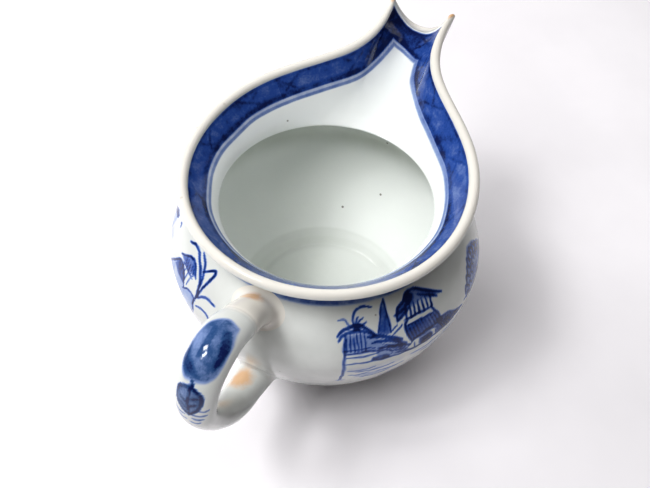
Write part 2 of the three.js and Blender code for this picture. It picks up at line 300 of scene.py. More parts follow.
def smooth_line(points):
    """A round-cornered line through given points."""
    p = np.asarray(points, dtype=float)
    if len(p) == 2:
        return p[0] + (p[1] - p[0]) * np.linspace(0, 1, 5)[:, None]
    p = run_on(p)
    t = np.linspace(0, 1, 7, endpoint=False)[:, None]
    line = []
    for a, b, c, d in zip(p, p[1:], p[2:], p[3:]):
        line.append(0.5 * (2 * b + (c - a) * t + (2 * a - 5 * b + 4 * c - d) * t ** 2
                           + (3 * b - a - 3 * c + d) * t ** 3))
    return np.vstack(line + [p[-2:-1]])


def wander(x, y, size, seed):
    """Smooth wandering numbers from -1 to 1 over a grid, as an unsteady hand gives."""
    total = np.zeros(np.broadcast(x, y).shape)
    for k, (east, north) in enumerate(((1.0, 0.35), (-0.42, 1.1), (0.8, -0.93), (1.7, 1.25))):
        total += np.sin((x * east + y * north) / size + seed * (1.7 + k)) / (1 + 0.4 * k)
    return total / 2.4


def away_from(a, b, x, y, squeeze):
    """How far points lie from the straight line between a and b."""
    dx, dy = (b[0] - a[0]) * squeeze, b[1] - a[1]
    px, py = (x - a[0]) * squeeze, y - a[1]
    along = np.clip((px * dx + py * dy) / (dx * dx + dy * dy + TINY), 0, 1)
    return np.hypot(px - along * dx, py - along * dy)


class Painting:
    """Cobalt laid on a grid of points: so far round and so far up, in millimetres."""
    tremble = 0.16       # how far the hand strays from a line
    bleed = 0.42         # width of a stroke's soft edge
    crossing = 0.22      # how much darker cobalt goes where strokes cross

    def __init__(self, around, up, squeeze):
        self.around = around
        self.up = up
        self.squeeze = squeeze
        self.density = np.zeros((len(up), len(around)))

    def window(self, line, margin):
        """The part of the grid near a line, with an unsteady hand's wander added."""
        low, high = line.min(axis=0) - margin, line.max(axis=0) + margin
        columns = slice(*np.searchsorted(self.around, [low[0] - margin, high[0] + margin]))
        rows = slice(*np.searchsorted(self.up, [low[1], high[1]]))
        x, y = np.meshgrid(self.around[columns], self.up[rows])
        x = x + self.tremble * wander(x, y, 0.9, 2.0)
        y = y + self.tremble * wander(x, y, 0.8, 5.0)
        return (rows, columns), x, y, self.squeeze[rows][:, None]

    def lay(self, place, density):
        """Add cobalt where it is denser than what is there; crossings go a little darker."""
        there = self.density[place]
        crossed = self.crossing * np.minimum(there, density)
        self.density[place] = np.maximum(there, density) + crossed

    def stroke(self, points, width=0.7, strength=0.8, taper=0.45):
        """One pull of the brush, thinner at its ends."""
        line = smooth_line(points)
        place, x, y, squeeze = self.window(line, width + 0.8)
        nearest = np.full(x.shape, np.inf)
        ends = np.linspace(0, math.pi, len(line))
        half = width / 2 * (1 - taper + taper * np.sin(ends) ** 0.6)
        for a, b, h in zip(line, line[1:], half):
            nearest = np.minimum(nearest, away_from(a, b, x, y, squeeze) - h)
        cover = np.clip(0.5 - nearest / self.bleed, 0, 1)
        self.lay(place, strength * cover * cover * (3 - 2 * cover))

    def wash(self, outline, strength=0.35, soft=0.8):
        """A thin flat wash inside an outline."""
        line = smooth_line(list(outline) + [outline[0]])
        place, x, y, squeeze = self.window(line, soft + 0.5)
        nearest = np.full(x.shape, np.inf)
        inside = np.zeros(x.shape, dtype=bool)
        for a, b in zip(line, line[1:]):
            nearest = np.minimum(nearest, away_from(a, b, x, y, squeeze))
            if a[1] != b[1]:
                crossing = a[0] + (y - a[1]) * (b[0] - a[0]) / (b[1] - a[1])
                inside ^= ((a[1] > y) != (b[1] > y)) & (x < crossing)
        signed = np.where(inside, nearest, -nearest)
        cover = np.clip(0.5 + signed / soft, 0, 1)
        uneven = 1 + 0.22 * wander(x, y, 1.6, 8.0)
        self.lay(place, strength * uneven * cover)

    def ripples(self, places, sag, lift, width, strength):
        """Short level strokes from left to right, each sagging in the middle."""
        for left, right, low in places:
            line = [(left, low), ((left + right) / 2, low - sag), (right, low + lift)]
            self.stroke(line, width, strength)

    def hatch(self, first, last, count, width=0.55, strength=0.8):
        """Parallel strokes from one line to another."""
        first, last = np.asarray(first, dtype=float), np.asarray(last, dtype=float)
        for k in range(count):
            share = k / max(count - 1, 1)
            self.stroke(first + (last - first) * share, width, strength)


def paint_tree_and_post(p):
    """Left of the near flank: a tall post, a tufted tree and a hatched bank."""
    p.stroke([(193.7, 12), (193.3, 4), (193, -4), (192.3, -9)], 0.95, 0.86)
    p.stroke([(191.2, -9), (193.8, -8.8)], 1.0, 0.5)
    p.stroke([(197.3, 14.4), (196.8, 17), (197.9, 19.2), (200.6, 20.0), (203.9, 19.4)], 0.75, 0.9)
    p.stroke([(197.2, 14.8), (195.3, 15.4), (193.7, 17.0), (191.6, 16.8)], 0.6, 0.62)
    for tip in ((198.6, 17.4), (200.3, 16.8), (201.2, 15.4)):
        p.stroke([(197.5, 14.4), ((197.5 + tip[0]) / 2, tip[1] - 0.6), tip], 0.6, 0.82)
    p.wash([(196.4, 13.2), (196.8, 15.2), (198.6, 15), (198.8, 13.2)], 0.9, 0.7)
    p.stroke([(191.4, 12.2), (193.5, 14), (197.5, 14.9), (200.5, 13.8), (203.8, 10.8)], 1.2, 0.92)
    p.stroke([(191.6, 10.6), (193, 12.2), (196, 13.2), (200, 12.8), (203, 11)], 1.1, 0.84)
    p.hatch([(194.2, 12.6), (194.0, 6.8)], [(199.9, 12.6), (200.2, 6.6)], 6, 0.6, 0.82)
    p.wash([(193.5, 12.5), (202.5, 11.5), (204.5, 6.2), (193.5, 6.2)], 0.42)
    p.stroke([(193, 7.2), (198, 7.3), (203, 6.9)], 0.65, 0.8)
    p.stroke([(193.5, 6.0), (200, 6.2), (206.5, 5), (208.5, 3.8)], 0.75, 0.85)
    p.stroke([(194.2, 4.8), (199, 4.6), (204, 5)], 0.65, 0.75)
    p.stroke([(193, 2.5), (200, 2.2), (206, 2), (212, 1.5), (222, 0.8)], 0.7, 0.85)
    p.stroke([(201, 10.8), (206, 9.8), (212, 6.8)], 1.3, 0.9)
    p.stroke([(202, 8.8), (208, 7.8), (213, 5)], 1.2, 0.88)
    p.stroke([(204, 6.4), (210, 5.4), (214.4, 3.6)], 1.1, 0.86)
    p.hatch([(205, 7.6), (212, 4.3)], [(208, 3.1), (214, 1.8)], 4, 0.65, 0.82)
    p.wash([(202, 3.7), (206.5, 3.6), (207.4, 2), (202, 2.1)], 0.85, 0.7)
    p.wash([(203.5, 8), (211, 6), (213.5, 2.2), (204, 2.4)], 0.38)


def paint_spire(p):
    """A tall narrow spire behind the bank."""
    p.wash([(204.4, 10.8), (206, 15.4), (207, 17.8), (209, 20.6), (208.9, 17.4), (208.9, 14.2),
            (208.9, 10.2)], 0.64, 0.5)
    p.stroke([(204.4, 10.8), (206, 15.4), (207.2, 18.2), (209, 20.8)], 0.6, 0.9)
    p.stroke([(208.9, 10.2), (209, 14.2), (208.7, 17.4), (209, 20.8)], 0.65, 0.95)
    p.stroke([(208.8, 10.2), (211.3, 11.8)], 0.6, 0.8)
    p.stroke([(208.9, 8.8), (213, 11.1)], 0.6, 0.78)
    p.stroke([(206.6, 11.4), (208.3, 15.5)], 0.6, 0.72)


def paint_pavilion(p):
    """A roofed pavilion on the near flank, with a hatched wall and an arched terrace."""
    p.wash([(211.4, 13.6), (213.3, 16.8), (216.6, 18.2), (219, 19.8), (223.4, 18.7), (227.4, 16.2),
            (231.4, 13.3), (228, 13.6), (222, 15.2), (215, 14.2), (213, 12.6)], 0.6)
    p.stroke([(211.6, 13.2), (213.3, 16.4), (216.9, 18), (219.2, 19.8)], 1.1, 0.85)
    p.stroke([(216, 18), (219, 19.8), (223.4, 18.7), (227.2, 15.8), (231.6, 13.1)], 1.1, 0.9)
    p.wash([(216.4, 18.4), (219, 19.8), (220.6, 18), (218.4, 15.8), (216.4, 16.4)], 0.9, 0.8)
    p.stroke([(211.2, 14.6), (214, 15.2), (218, 16.6)], 1.1, 0.85)
    p.stroke([(211.6, 12.8), (214.2, 13.8), (217, 15.2)], 1.1, 0.85)
    p.stroke([(222, 17.4), (226, 15.2), (229, 12.9)], 1.0, 0.85)
    p.hatch([(216, 16.4), (215.2, 12.2)], [(226.4, 15.2), (225.6, 11.6)], 7, 0.8, 0.92)
    p.stroke([(214.2, 12.0), (217, 12.2), (221, 12), (225.4, 11.3), (226.2, 12.4)], 0.8, 0.92)
    p.wash([(214.2, 10.4), (220, 10), (225.6, 9.2), (226.6, 5), (215.4, 4.6)], 0.7, 0.5)
    p.stroke([(215.4, 11.8), (214.1, 10.6), (213.9, 8.6), (215.2, 4.4)], 0.95, 0.93)
    p.stroke([(225.4, 11.6), (226, 9.6), (227.2, 7.4), (227.6, 5)], 1.0, 0.93)
    p.hatch([(215.2, 10.2), (216.2, 4.8)], [(225, 9.2), (226, 5.2)], 9, 0.75, 0.88)
    p.stroke([(214.2, 10.4), (220, 10), (225.4, 9.2)], 0.6, 0.88)
    p.stroke([(215.2, 4.6), (221, 5.4), (227.4, 5)], 0.8, 0.92)
    p.stroke([(213.6, 3), (216, 4.5), (219, 5.1), (223, 4.8), (225.4, 3.6)], 0.65, 0.88)
    p.wash([(218, 3.9), (222.6, 3.8), (222.7, 1.5), (218, 1.6)], 0.9, 0.6)
    p.stroke([(216.2, 3.6), (216, 1.6)], 0.6, 0.8)
    p.stroke([(224.4, 3.4), (224.6, 1.6)], 0.6, 0.8)
    p.stroke([(211.5, 1.7), (218, 1.2), (226, 1.3), (233, 0.9)], 0.75, 0.88)
    p.wash([(225, 6), (230, 5.6), (233.4, 3.6), (238, 1.5), (231, 1.1), (225, 1.8)], 0.72)
    p.hatch([(225.4, 5.8), (228, 1.6)], [(233, 3.8), (236, 1.5)], 7, 0.8, 0.92)
    p.stroke([(225, 6.2), (230, 5.6), (233.6, 3.6), (238.4, 1.4)], 0.8, 0.85)


def paint_near_water(p):
    """Water below the near flank's scene: broken strokes and pale washes."""
    p.wash([(194, 0.8), (203, 0.4), (212, -0.6), (211, -3.4), (202, -4.2), (194.5, -2.6)], 0.16, 2)
    p.wash([(214, -1.5), (226, -1.2), (238, -2.5), (232, -5.5), (218, -5.6)], 0.14, 2)
    p.ripples([(194.4, 203, -1.2), (197, 209, -2.6), (195, 201, -4.6), (204, 213, -5.3),
               (215, 226, -1.8), (228, 240, -1.6), (219, 231, -4.2), (199, 208, -8),
               (222, 236, -7.6), (238, 252, -4.8), (243, 258, -8.4), (209, 219, -11)],
              0.5, 0.2, 1.0, 0.56)
    p.wash([(197, -5), (203, -4.6), (211, -5.4), (209, -7.8), (198, -7.6)], 0.3, 1.6)
    p.wash([(206, -13), (214, -11.8), (225, -12.4), (232, -15), (222, -17), (209, -16.4)], 0.4)
    p.stroke([(205, -14), (212, -12), (222, -12.2), (233, -15.4)], 0.9, 0.8)
    p.hatch([(209, -12.8), (211, -15.8)], [(226, -13.2), (228, -16)], 6, 0.7, 0.75)


def paint_far_bank(p):
    """Right of the near flank: a leafy bank and its reflection."""
    p.wash([(241, 2.6), (244, 6.6), (249, 11), (254, 12.8), (259, 10.4), (262.5, 6), (264, 2.4)],
           0.6, 0.9)
    for k in range(9):
        left = 242.2 + 2.3 * k
        top = 3.5 + 8.2 * math.sin(math.pi * (left - 238.5) / 27.5) ** 1.4
        p.stroke([(left - 0.8, top - 2.2), (left + 0.7, top), (left + 2.6, top - 2.0)], 1.2, 0.92)
        p.stroke([(left, top - 4.2), (left + 1.2, top - 2.8), (left + 2.8, top - 4.4)], 1.1, 0.85)
    p.stroke([(240, 2.4), (248, 1.8), (256, 2.2), (266, 1.6)], 0.9, 0.88)
    p.wash([(257, -1.5), (263, -1), (270, -2.4), (273, -6), (268, -8.6), (260, -7.4)], 0.5, 1)
    p.stroke([(256.5, -2), (263, -1.2), (270, -2.4), (273.4, -6.4)], 1.0, 0.88)
    p.hatch([(259, -2), (260, -6.6)], [(269, -3), (271, -8)], 6, 0.8, 0.85)


def paint_reeds(p):
    """The far flank's tall curling leaves, drawn from one stem."""
    p.stroke([(124, 15.6), (127, 17), (130, 17.2), (133, 16), (136, 14.5), (138.5, 12),
              (139.8, 9.5), (140.3, 6)], 1.2, 0.9)
    p.stroke([(132.6, 18.4), (136, 17), (138, 15), (139.5, 12.5), (140.2, 8)], 1.1, 0.88)
    p.stroke([(138, 14.4), (140.5, 16.8), (142.3, 17.9), (142.9, 16.5), (142.3, 14),
              (141.3, 10), (140.5, 5.6)], 1.0, 0.95)
    p.stroke([(141, 6.4), (143, 8.5), (145.5, 9.4), (148.6, 9.0)], 1.0, 0.85)
    p.stroke([(141.4, 3.4), (144, 4.6), (147, 4.2), (149, 2.2)], 0.9, 0.8)
    p.stroke([(140.5, 9), (140, 4), (140.2, 0), (139, -3.4), (139.6, -7)], 0.9, 0.9)


def paint_far_pavilion(p):
    """The far flank's small pavilion between its hills."""
    p.wash([(125, 10.2), (128, 12.6), (131, 14), (134.4, 13), (136.4, 11), (131, 10)], 0.6)
    p.stroke([(124.4, 10), (128, 12.6), (131, 14.1), (134.4, 13), (136.8, 10.8)], 0.9, 0.92)
    p.hatch([(128, 12.3), (129.4, 10)], [(134, 12.8), (135, 10.2)], 5, 0.6, 0.85)
    p.hatch([(128.4, 10), (128.8, 7)], [(134.4, 9.8), (134.2, 6)], 4, 0.6, 0.82)
    p.stroke([(127.6, 9.6), (131, 9.9), (135.4, 9.4)], 0.7, 0.85)


def paint_hills(p):
    """The far flank's hills, the water below them and a distant shore."""
    p.wash([(118.5, 0), (121, 3.2), (124, 7), (127, 9), (131, 7.5), (133, 4.5), (134, 0.4),
            (126, -0.8)], 0.3, 1.4)
    p.wash([(123.4, 5), (125.4, 8), (128, 8.8), (131.6, 7.4), (132.6, 4.8), (128, 4.6)], 0.8)
    p.stroke([(117.6, -0.6), (121, 3.2), (124, 7), (127, 9), (131, 7.5), (133.4, 4)], 0.9, 0.95)
    p.wash([(133, 3), (135, 4.9), (138, 5.6), (140, 5), (140, 0), (137, -3), (133, -1)], 0.34, 1.2)
    p.stroke([(132.6, 2.8), (135, 4.9), (138, 5.6), (140.4, 4.8)], 0.8, 0.85)
    p.wash([(118, 0), (121, 3.4), (124.5, 4), (123, -0.6)], 0.2, 1.4)
    p.stroke([(98.6, 4.2), (104, 8.5), (107.8, 10.2)], 1.6, 0.92)
    p.wash([(100.4, 3), (104, 8.2), (108, 9.2), (108.4, 5), (104, 2.6)], 0.3, 1.2)
    p.wash([(107, 5), (111, 7.4), (114.4, 6.6), (113, 4.6)], 0.18, 1.2)
    p.stroke([(112.2, 12.2), (113.2, 12.4), (114, 11.8)], 0.9, 0.75)
    p.ripples([(100, 112, 0.6), (104, 117, -2.2), (121, 132, -2.8), (112, 124, -5.4),
               (126, 139, -6.2), (134, 146, -4.4), (104, 118, -8.6), (122, 136, -10)],
              0.6, 0.3, 0.75, 0.5)
    p.wash([(114, -12), (122, -11), (133, -12.6), (138, -15), (128, -16.6), (116, -15.4)], 0.4)
    p.stroke([(112.6, -13.2), (121, -11.2), (131, -12.2), (139, -15.4)], 0.9, 0.8)
    p.hatch([(117, -12), (119, -15)], [(131, -13), (133, -15.6)], 6, 0.7, 0.75)


def paint_body(p):
    """The whole painted scene, flank by flank."""
    paint_tree_and_post(p)
    paint_spire(p)
    paint_pavilion(p)
    paint_near_water(p)
    paint_far_bank(p)
    paint_reeds(p)
    paint_far_pavilion(p)
    paint_hills(p)
    return np.clip(p.density, 0, 1.2)


# ---------------------------------------------------------------- turned body

def wall_line(belly, wide, end, floor, fullness, step):
    """A wall from its widest ring to its end ring, evenly stepped: radius, height, distance."""
    soft = BELLY_SOFTNESS
    t = 1 - (1 - np.linspace(0, 1, 3000)) ** 2

    def swell(value):
        return (value * value + soft * soft) ** (fullness / 2) - soft ** fullness

    bulge = np.clip(1 - swell(t) / swell(1.0), 0, 1) ** (1 / fullness)
    radius = end + (wide - end) * bulge
    height = belly + (floor - belly) * t
    travelled = np.concatenate([[0], np.cumsum(np.hypot(np.diff(radius), np.diff(height)))])
    wanted = spaced(0, travelled[-1], step, LINE_STEP)
    return (np.interp(wanted, travelled, radius), np.interp(wanted, travelled, height), wanted)


def body_walls():
    """The four walls of the turned body, in millimetres."""
    size = bpy.context.scene.jug_body
    belly = size.belly_height / MM
    wide = size.belly_radius / MM
    inner = wide - size.belly_wall / MM
    foot = size.foot_radius / MM
    throat = size.throat_radius / MM
    neck = throat + size.throat_wall / MM
    base = size.foot_height / MM
    return {
        "lower": wall_line(belly, wide, foot, base, size.lower_fullness, LOWER_STEP),
        "floor": wall_line(belly, inner, foot - size.floor_inset / MM,
                           base + size.base_thickness / MM, size.lower_fullness, FLOOR_STEP),
        "shoulder": wall_line(belly, wide, neck, size.throat_height / MM,
                              size.shoulder_fullness, WALL_STEP),
        "inner_shoulder": wall_line(belly, inner, throat,
                                    (size.throat_height - size.throat_land) / MM,
                                    size.shoulder_fullness, THROAT_STEP),
    }


def outside_wall(walls):
    """The outer wall from foot to neck: radius, height and distance up from the widest line."""
    low_r, low_z, low_s = walls["lower"]
    high_r, high_z, high_s = walls["shoulder"]
    return (np.concatenate([low_r[::-1], high_r[1:]]),
            np.concatenate([low_z[::-1], high_z[1:]]),
            np.concatenate([-low_s[::-1], high_s[1:]]))


def painted_turns():
    """Angles round the body, close together where the painting is."""
    wide = bpy.context.scene.jug_body.belly_radius / MM
    bare = 1.8
    stops = [0, 96, 152, 187, 276, 2 * math.pi * wide]
    steps = [bare, 0.46, bare, 0.42, bare]
    runs = [np.arange(a, b, step) for a, b, step in zip(stops, stops[1:], steps)]
    return np.concatenate(runs) / wide


class JUG_OT_foot_ring(bpy.types.Operator):
    """Make the turned foot ring with its bare standing edge"""
    bl_idname = "jug.foot_ring"
    bl_label = "Foot ring"

    def execute(self, context):
        size = context.scene.jug_body
        outer = size.foot_radius / MM
        inner = outer - size.foot_width / MM
        top = size.foot_height / MM
        throat = inner - size.foot_taper / MM
        quarter = np.linspace(0, math.pi / 2, 7)
        outer_round, inner_round = 0.6, 0.4
        radius = np.concatenate([
            inner + inner_round * (1 - np.cos(quarter)),
            np.linspace(inner + inner_round, outer - outer_round, 6)[1:-1],
            outer - outer_round + outer_round * np.sin(quarter),
            np.full(11, outer),
            np.linspace(outer, throat, 6)[1:],
            np.linspace(throat, inner, 12)[1:-1]])
        height = np.concatenate([
            inner_round * (1 - np.sin(quarter)),
            np.zeros(4),
            outer_round - outer_round * np.cos(quarter),
            np.linspace(outer_round, top, 12)[1:],
            np.full(5, top),
            np.linspace(top, inner_round, 12)[1:-1]])
        turns = np.linspace(0, 2 * math.pi, 240, endpoint=False)
        ragged = wander(np.cos(turns) * 9, np.sin(turns) * 9, 1.2, 3.0)
        glaze_edge = 1.1 + 0.3 * ragged[None, :]
        bare = np.clip(0.5 - (height[:, None] - glaze_edge) / 0.5, 0, 1)
        piece = turned_mesh("foot_ring_turned", radius, height, turns, {"bare": bare})
        settle(piece, "foot_ring", "foot_clay")
        return {"FINISHED"}


class JUG_OT_body(bpy.types.Operator):
    """Make the thrown lower body and the shoulder, with the scene painted round them"""
    bl_idname = "jug.body"
    bl_label = "Lower body and shoulder"
    inner_shade = 0.46     # how strongly painted shade darkens the inside, round the widest line and just under the throat's edge

    def execute(self, context):
        walls = body_walls()
        turns = painted_turns()
        wide = context.scene.jug_body.belly_radius / MM
        radius, _, up = outside_wall(walls)
        cobalt = paint_body(Painting(turns * wide, up, radius / wide))
        cobalt = np.maximum(cobalt, self.neck_line(up[-1] - up, turns))
        widest = len(walls["lower"][0])
        self.make_lower(walls, turns, cobalt[:widest])
        self.make_shoulder(walls, turns, cobalt[widest - 1:])
        return {"FINISHED"}

    def neck_line(self, below_neck, turns):
        """The line round the neck, and a faint cobalt haze for a few millimetres below it."""
        line = 1 - smoothstep(np.abs(below_neck - 1.3), 0.7, 1.9)
        haze = 0.13 * (1 - smoothstep(below_neck, 1.5, 5.5))
        wobble = 0.8 + 0.25 * wander(turns * 9, turns * 0, 1.0, 4.0)
        return np.maximum(line[:, None] * wobble[None, :] * 0.8, haze[:, None])

    def make_lower(self, walls, turns, cobalt):
        """The bowl: base, outer wall, inner wall and floor, with a groove round the floor."""
        radius, height, _ = walls["lower"]
        inner_r, inner_z, _ = walls["floor"]
        groove, ridge = 0.45, 0.22
        from_floor = inner_r - inner_r[-1]
        inner_z = inner_z - groove * hump(from_floor, 0.4, 1.2)
        inner_z = inner_z + ridge * hump(from_floor, 3.6, 0.8)
        base = np.linspace(0, radius[-1], 16)[:-1]
        disc = np.linspace(inner_r[-1], 0, 26)[1:]
        disc_z = inner_z[-1] + groove * (1 - hump(disc, inner_r[-1], 1.1))
        outline_r = np.concatenate([base, radius[::-1], inner_r, disc])
        outline_z = np.concatenate([np.full(len(base), height[-1]), height[::-1], inner_z, disc_z])
        below = np.zeros((len(base), len(turns)))
        inside = np.zeros((len(inner_r) + len(disc), len(turns)))
        paint = np.vstack([below, cobalt, inside])
        inner = np.zeros(paint.shape)
        inner[len(base) + len(radius):] = 1
        # painted shade inside the bowl: a green-grey tint over the floor and the lowest 4 mm of the
        # wall, and a darker band round the widest line where the throat casts shade; the little extra in
        # the cove round the floor is pooled glaze
        cove = outline_r - inner_r[-1]
        ring = smoothstep(cove, 0, 0.8) * (1 - smoothstep(cove, 2.6, 3.8))
        low = outline_z < inner_z[-1] + 4
        pool = np.where(low, 0.14 + 0.08 * ring, 0.0)
        pool = inner * np.maximum(pool, self.inner_shade * hump(outline_z, height[0], 4.6))[:, None]
        piece = turned_mesh("lower_body_thrown", outline_r, outline_z, turns,
                            {"cobalt": paint, "inner": inner, "pool": pool})
        settle(piece, "lower_body", "body_glaze")

    def make_shoulder(self, walls, turns, cobalt):
        """The shoulder, with its inner face rounded over into the upright throat."""
        radius, height, _ = walls["shoulder"]
        inner_r, inner_z, _ = walls["inner_shoulder"]
        rounding, upright = 2.4, 0.25
        keep = inner_r > inner_r[-1] + rounding
        low_r, low_z = inner_r[keep], inner_z[keep]
        throat, top = inner_r[-1], height[-1]
        t = np.linspace(0, 1, 9)[1:]
        round_r = low_r[-1] * (1 - t) ** 2 + throat * (2 * t * (1 - t) + t * t)
        round_z = (low_z[-1] * (1 - t) ** 2 + inner_z[-1] * 2 * t * (1 - t)
                   + (top - upright) * t * t)
        outline_r = np.concatenate([radius, [throat], round_r[::-1], low_r[::-1]])
        outline_z = np.concatenate([height, [top], round_z[::-1], low_z[::-1]])
        paint = np.vstack([cobalt, np.zeros((len(outline_r) - len(radius), len(turns)))])
        inner = np.zeros(paint.shape)
        inner[len(radius):] = 1
        # painted shade: the inside just under the throat's edge is darkened green-grey
        shade_under_throat = 1 - smoothstep(outline_z, top - 1.4, top - 0.2)
        pool = inner * shade_under_throat[:, None] * self.inner_shade
        piece = turned_mesh("upper_body_thrown", outline_r, outline_z, turns,
                            {"cobalt": paint, "inner": inner, "pool": pool})
        settle(piece, "upper_body", "body_glaze")


# ---------------------------------------------------------------- collar and spout

class Rim:
    """Stations round the rim: lip middle, outward direction, throat angle and lip width."""

    def __init__(self):
        body, size = bpy.context.scene.jug_body, bpy.context.scene.jug_collar
        self.size = size
        self.throat = body.throat_radius / MM
        self.neck = self.throat + body.throat_wall / MM
        self.floor = body.throat_height / MM
        self.outer = size.rim_radius / MM
        self.lip = size.lip_width / MM
        self.ear_lip = size.ear_lip_width / MM
        self.middle = self.outer - self.lip / 2
        self.reach = size.spout_reach / MM
        self.half = size.spout_half_width / MM
        start = np.array([math.cos(size.spout_start), math.sin(size.spout_start)]) * self.middle
        span = self.reach - start[0]
        leave, arrive, narrow = 0.46, 0.54, 0.72
        self.ogee = np.array([
            start,
            start + leave * span * np.array([math.sin(size.spout_start),
                                             -math.cos(size.spout_start)]),
            (self.reach - arrive * span, self.half * narrow),
            (self.reach, self.half)])

    def height(self, x):
        """The top of the rim: level at the back and climbing towards the ears."""
        share = np.maximum((x + self.outer) / (self.reach + self.outer), 0)
        rise = self.size.rim_rise + self.size.spout_lift * share ** self.size.lift_power
        return self.floor + rise / MM

    def circle(self, angles):
        """Stations on the round part of the rim."""
        x, y = self.middle * np.cos(angles), self.middle * np.sin(angles)
        return (np.stack([x, y, self.height(x)], axis=1),
                np.stack([np.cos(angles), np.sin(angles)], axis=1),
                angles, np.full(len(angles), self.lip))

    def side(self, shares, side):
        """Stations from the circle to an ear, on the side whose sign is given."""
        a, b, c, d = self.ogee
        t = shares[:, None]
        xy = a * (1 - t) ** 3 + 3 * b * t * (1 - t) ** 2 + 3 * c * t * t * (1 - t) + d * t ** 3
        along = (b - a) * (1 - t) ** 2 + 2 * (c - b) * t * (1 - t) + (d - c) * t * t
        along /= np.linalg.norm(along, axis=1)[:, None]
        turn = -shares ** 6 * EAR_TURN
        out_x = -along[:, 1] * np.cos(turn) - along[:, 0] * np.sin(turn)
        out_y = -along[:, 1] * np.sin(turn) + along[:, 0] * np.cos(turn)
        start, end = self.size.spout_start, self.size.ear_throat
        throat = side * (start + (end - start) * shares ** 0.8)
        lip = self.lip + (self.ear_lip - self.lip) * smoothstep(shares, 0.72, 1)
        return (np.stack([xy[:, 0], side * xy[:, 1], self.height(xy[:, 0])], axis=1),
                np.stack([out_x, side * out_y], axis=1), throat, lip)

    def notch(self, shares):
        """Stations across the pouring edge, from one ear at -1 to the other at 1."""
        dip = 1 - np.abs(shares) ** 2.2
        turn = shares * EAR_TURN
        x = self.reach + self.size.notch_bulge / MM * (1 - shares ** 2)
        z = self.height(self.reach) - self.size.notch_depth / MM * dip
        return (np.stack([x, self.half * shares, z], axis=1),
                np.stack([np.cos(turn), np.sin(turn)], axis=1),
                shares * self.size.ear_throat, np.full(len(shares), self.ear_lip))

    def collar_stations(self):
        start = self.size.spout_start
        return self.circle(spaced(start, 2 * math.pi - start, 0.011, 0.002))

    def spout_stations(self):
        shares = spaced(0, 1, 0.012, 0.003)
        across = np.linspace(-1, 1, 64)[1:-1]
        runs = [self.side(shares, -1), self.notch(across), self.side(shares[::-1], 1)]
        return tuple(np.concatenate(parts) for parts in zip(*runs))

    def sections(self, stations, rows):
        """Closed wall sections: up the inner face, over the lip, down the outer face."""
        middle, outward, throat, lip = stations
        spread = smoothstep(np.cos(throat), math.cos(self.size.spout_start), 1)
        curve = self.size.flare_curve + (self.size.channel_curve - self.size.flare_curve) * spread
        flat = np.concatenate([outward, np.zeros((len(lip), 1))], axis=1)
        fillet_height, fillet_reach = 0.55, 0.9
        points, faces = [], []

        def face_row(radius, side, rise):
            foot = np.stack([radius * np.cos(throat), radius * np.sin(throat),
                             np.full(len(lip), self.floor)], axis=1)
            top = middle + side * flat * (lip / 2)[:, None]
            top[:, 2] -= lip / 2
            flare = (rise ** curve)[:, None]
            row = foot + (top - foot) * flare
            row[:, 2] = foot[:, 2] + (top[:, 2] - foot[:, 2]) * rise
            return row

        for rise in np.linspace(0, 1, rows):
            points.append(face_row(self.throat, -1, rise))
            faces.append(INNER_FACE)
        for turn in np.linspace(0, math.pi, LIP_ROWS + 2)[1:-1]:
            row = middle - flat * (np.cos(turn) * lip / 2)[:, None]
            row[:, 2] += (np.sin(turn) - 1) * lip / 2
            points.append(row)
            faces.append(LIP_FACE)
        for rise in np.linspace(1, 0.02, rows // 2 + 6):
            row = face_row(self.neck, 1, rise)
            fillet = np.exp(-(row[:, 2] - self.floor) / fillet_height) * fillet_reach
            row[:, 0] += fillet * np.cos(throat)
            row[:, 1] += fillet * np.sin(throat)
            points.append(row)
            faces.append(OUTER_FACE)
        for reach, drop in ((1.1, 0.28), (0.6, 0.3), (0, 0)):
            edge = self.neck + reach
            points.append(np.stack([edge * np.cos(throat), edge * np.sin(throat),
                                    np.full(len(lip), self.floor - drop)], axis=1))
            faces.append(OUTER_FACE)
        return np.array(points), np.array(faces)


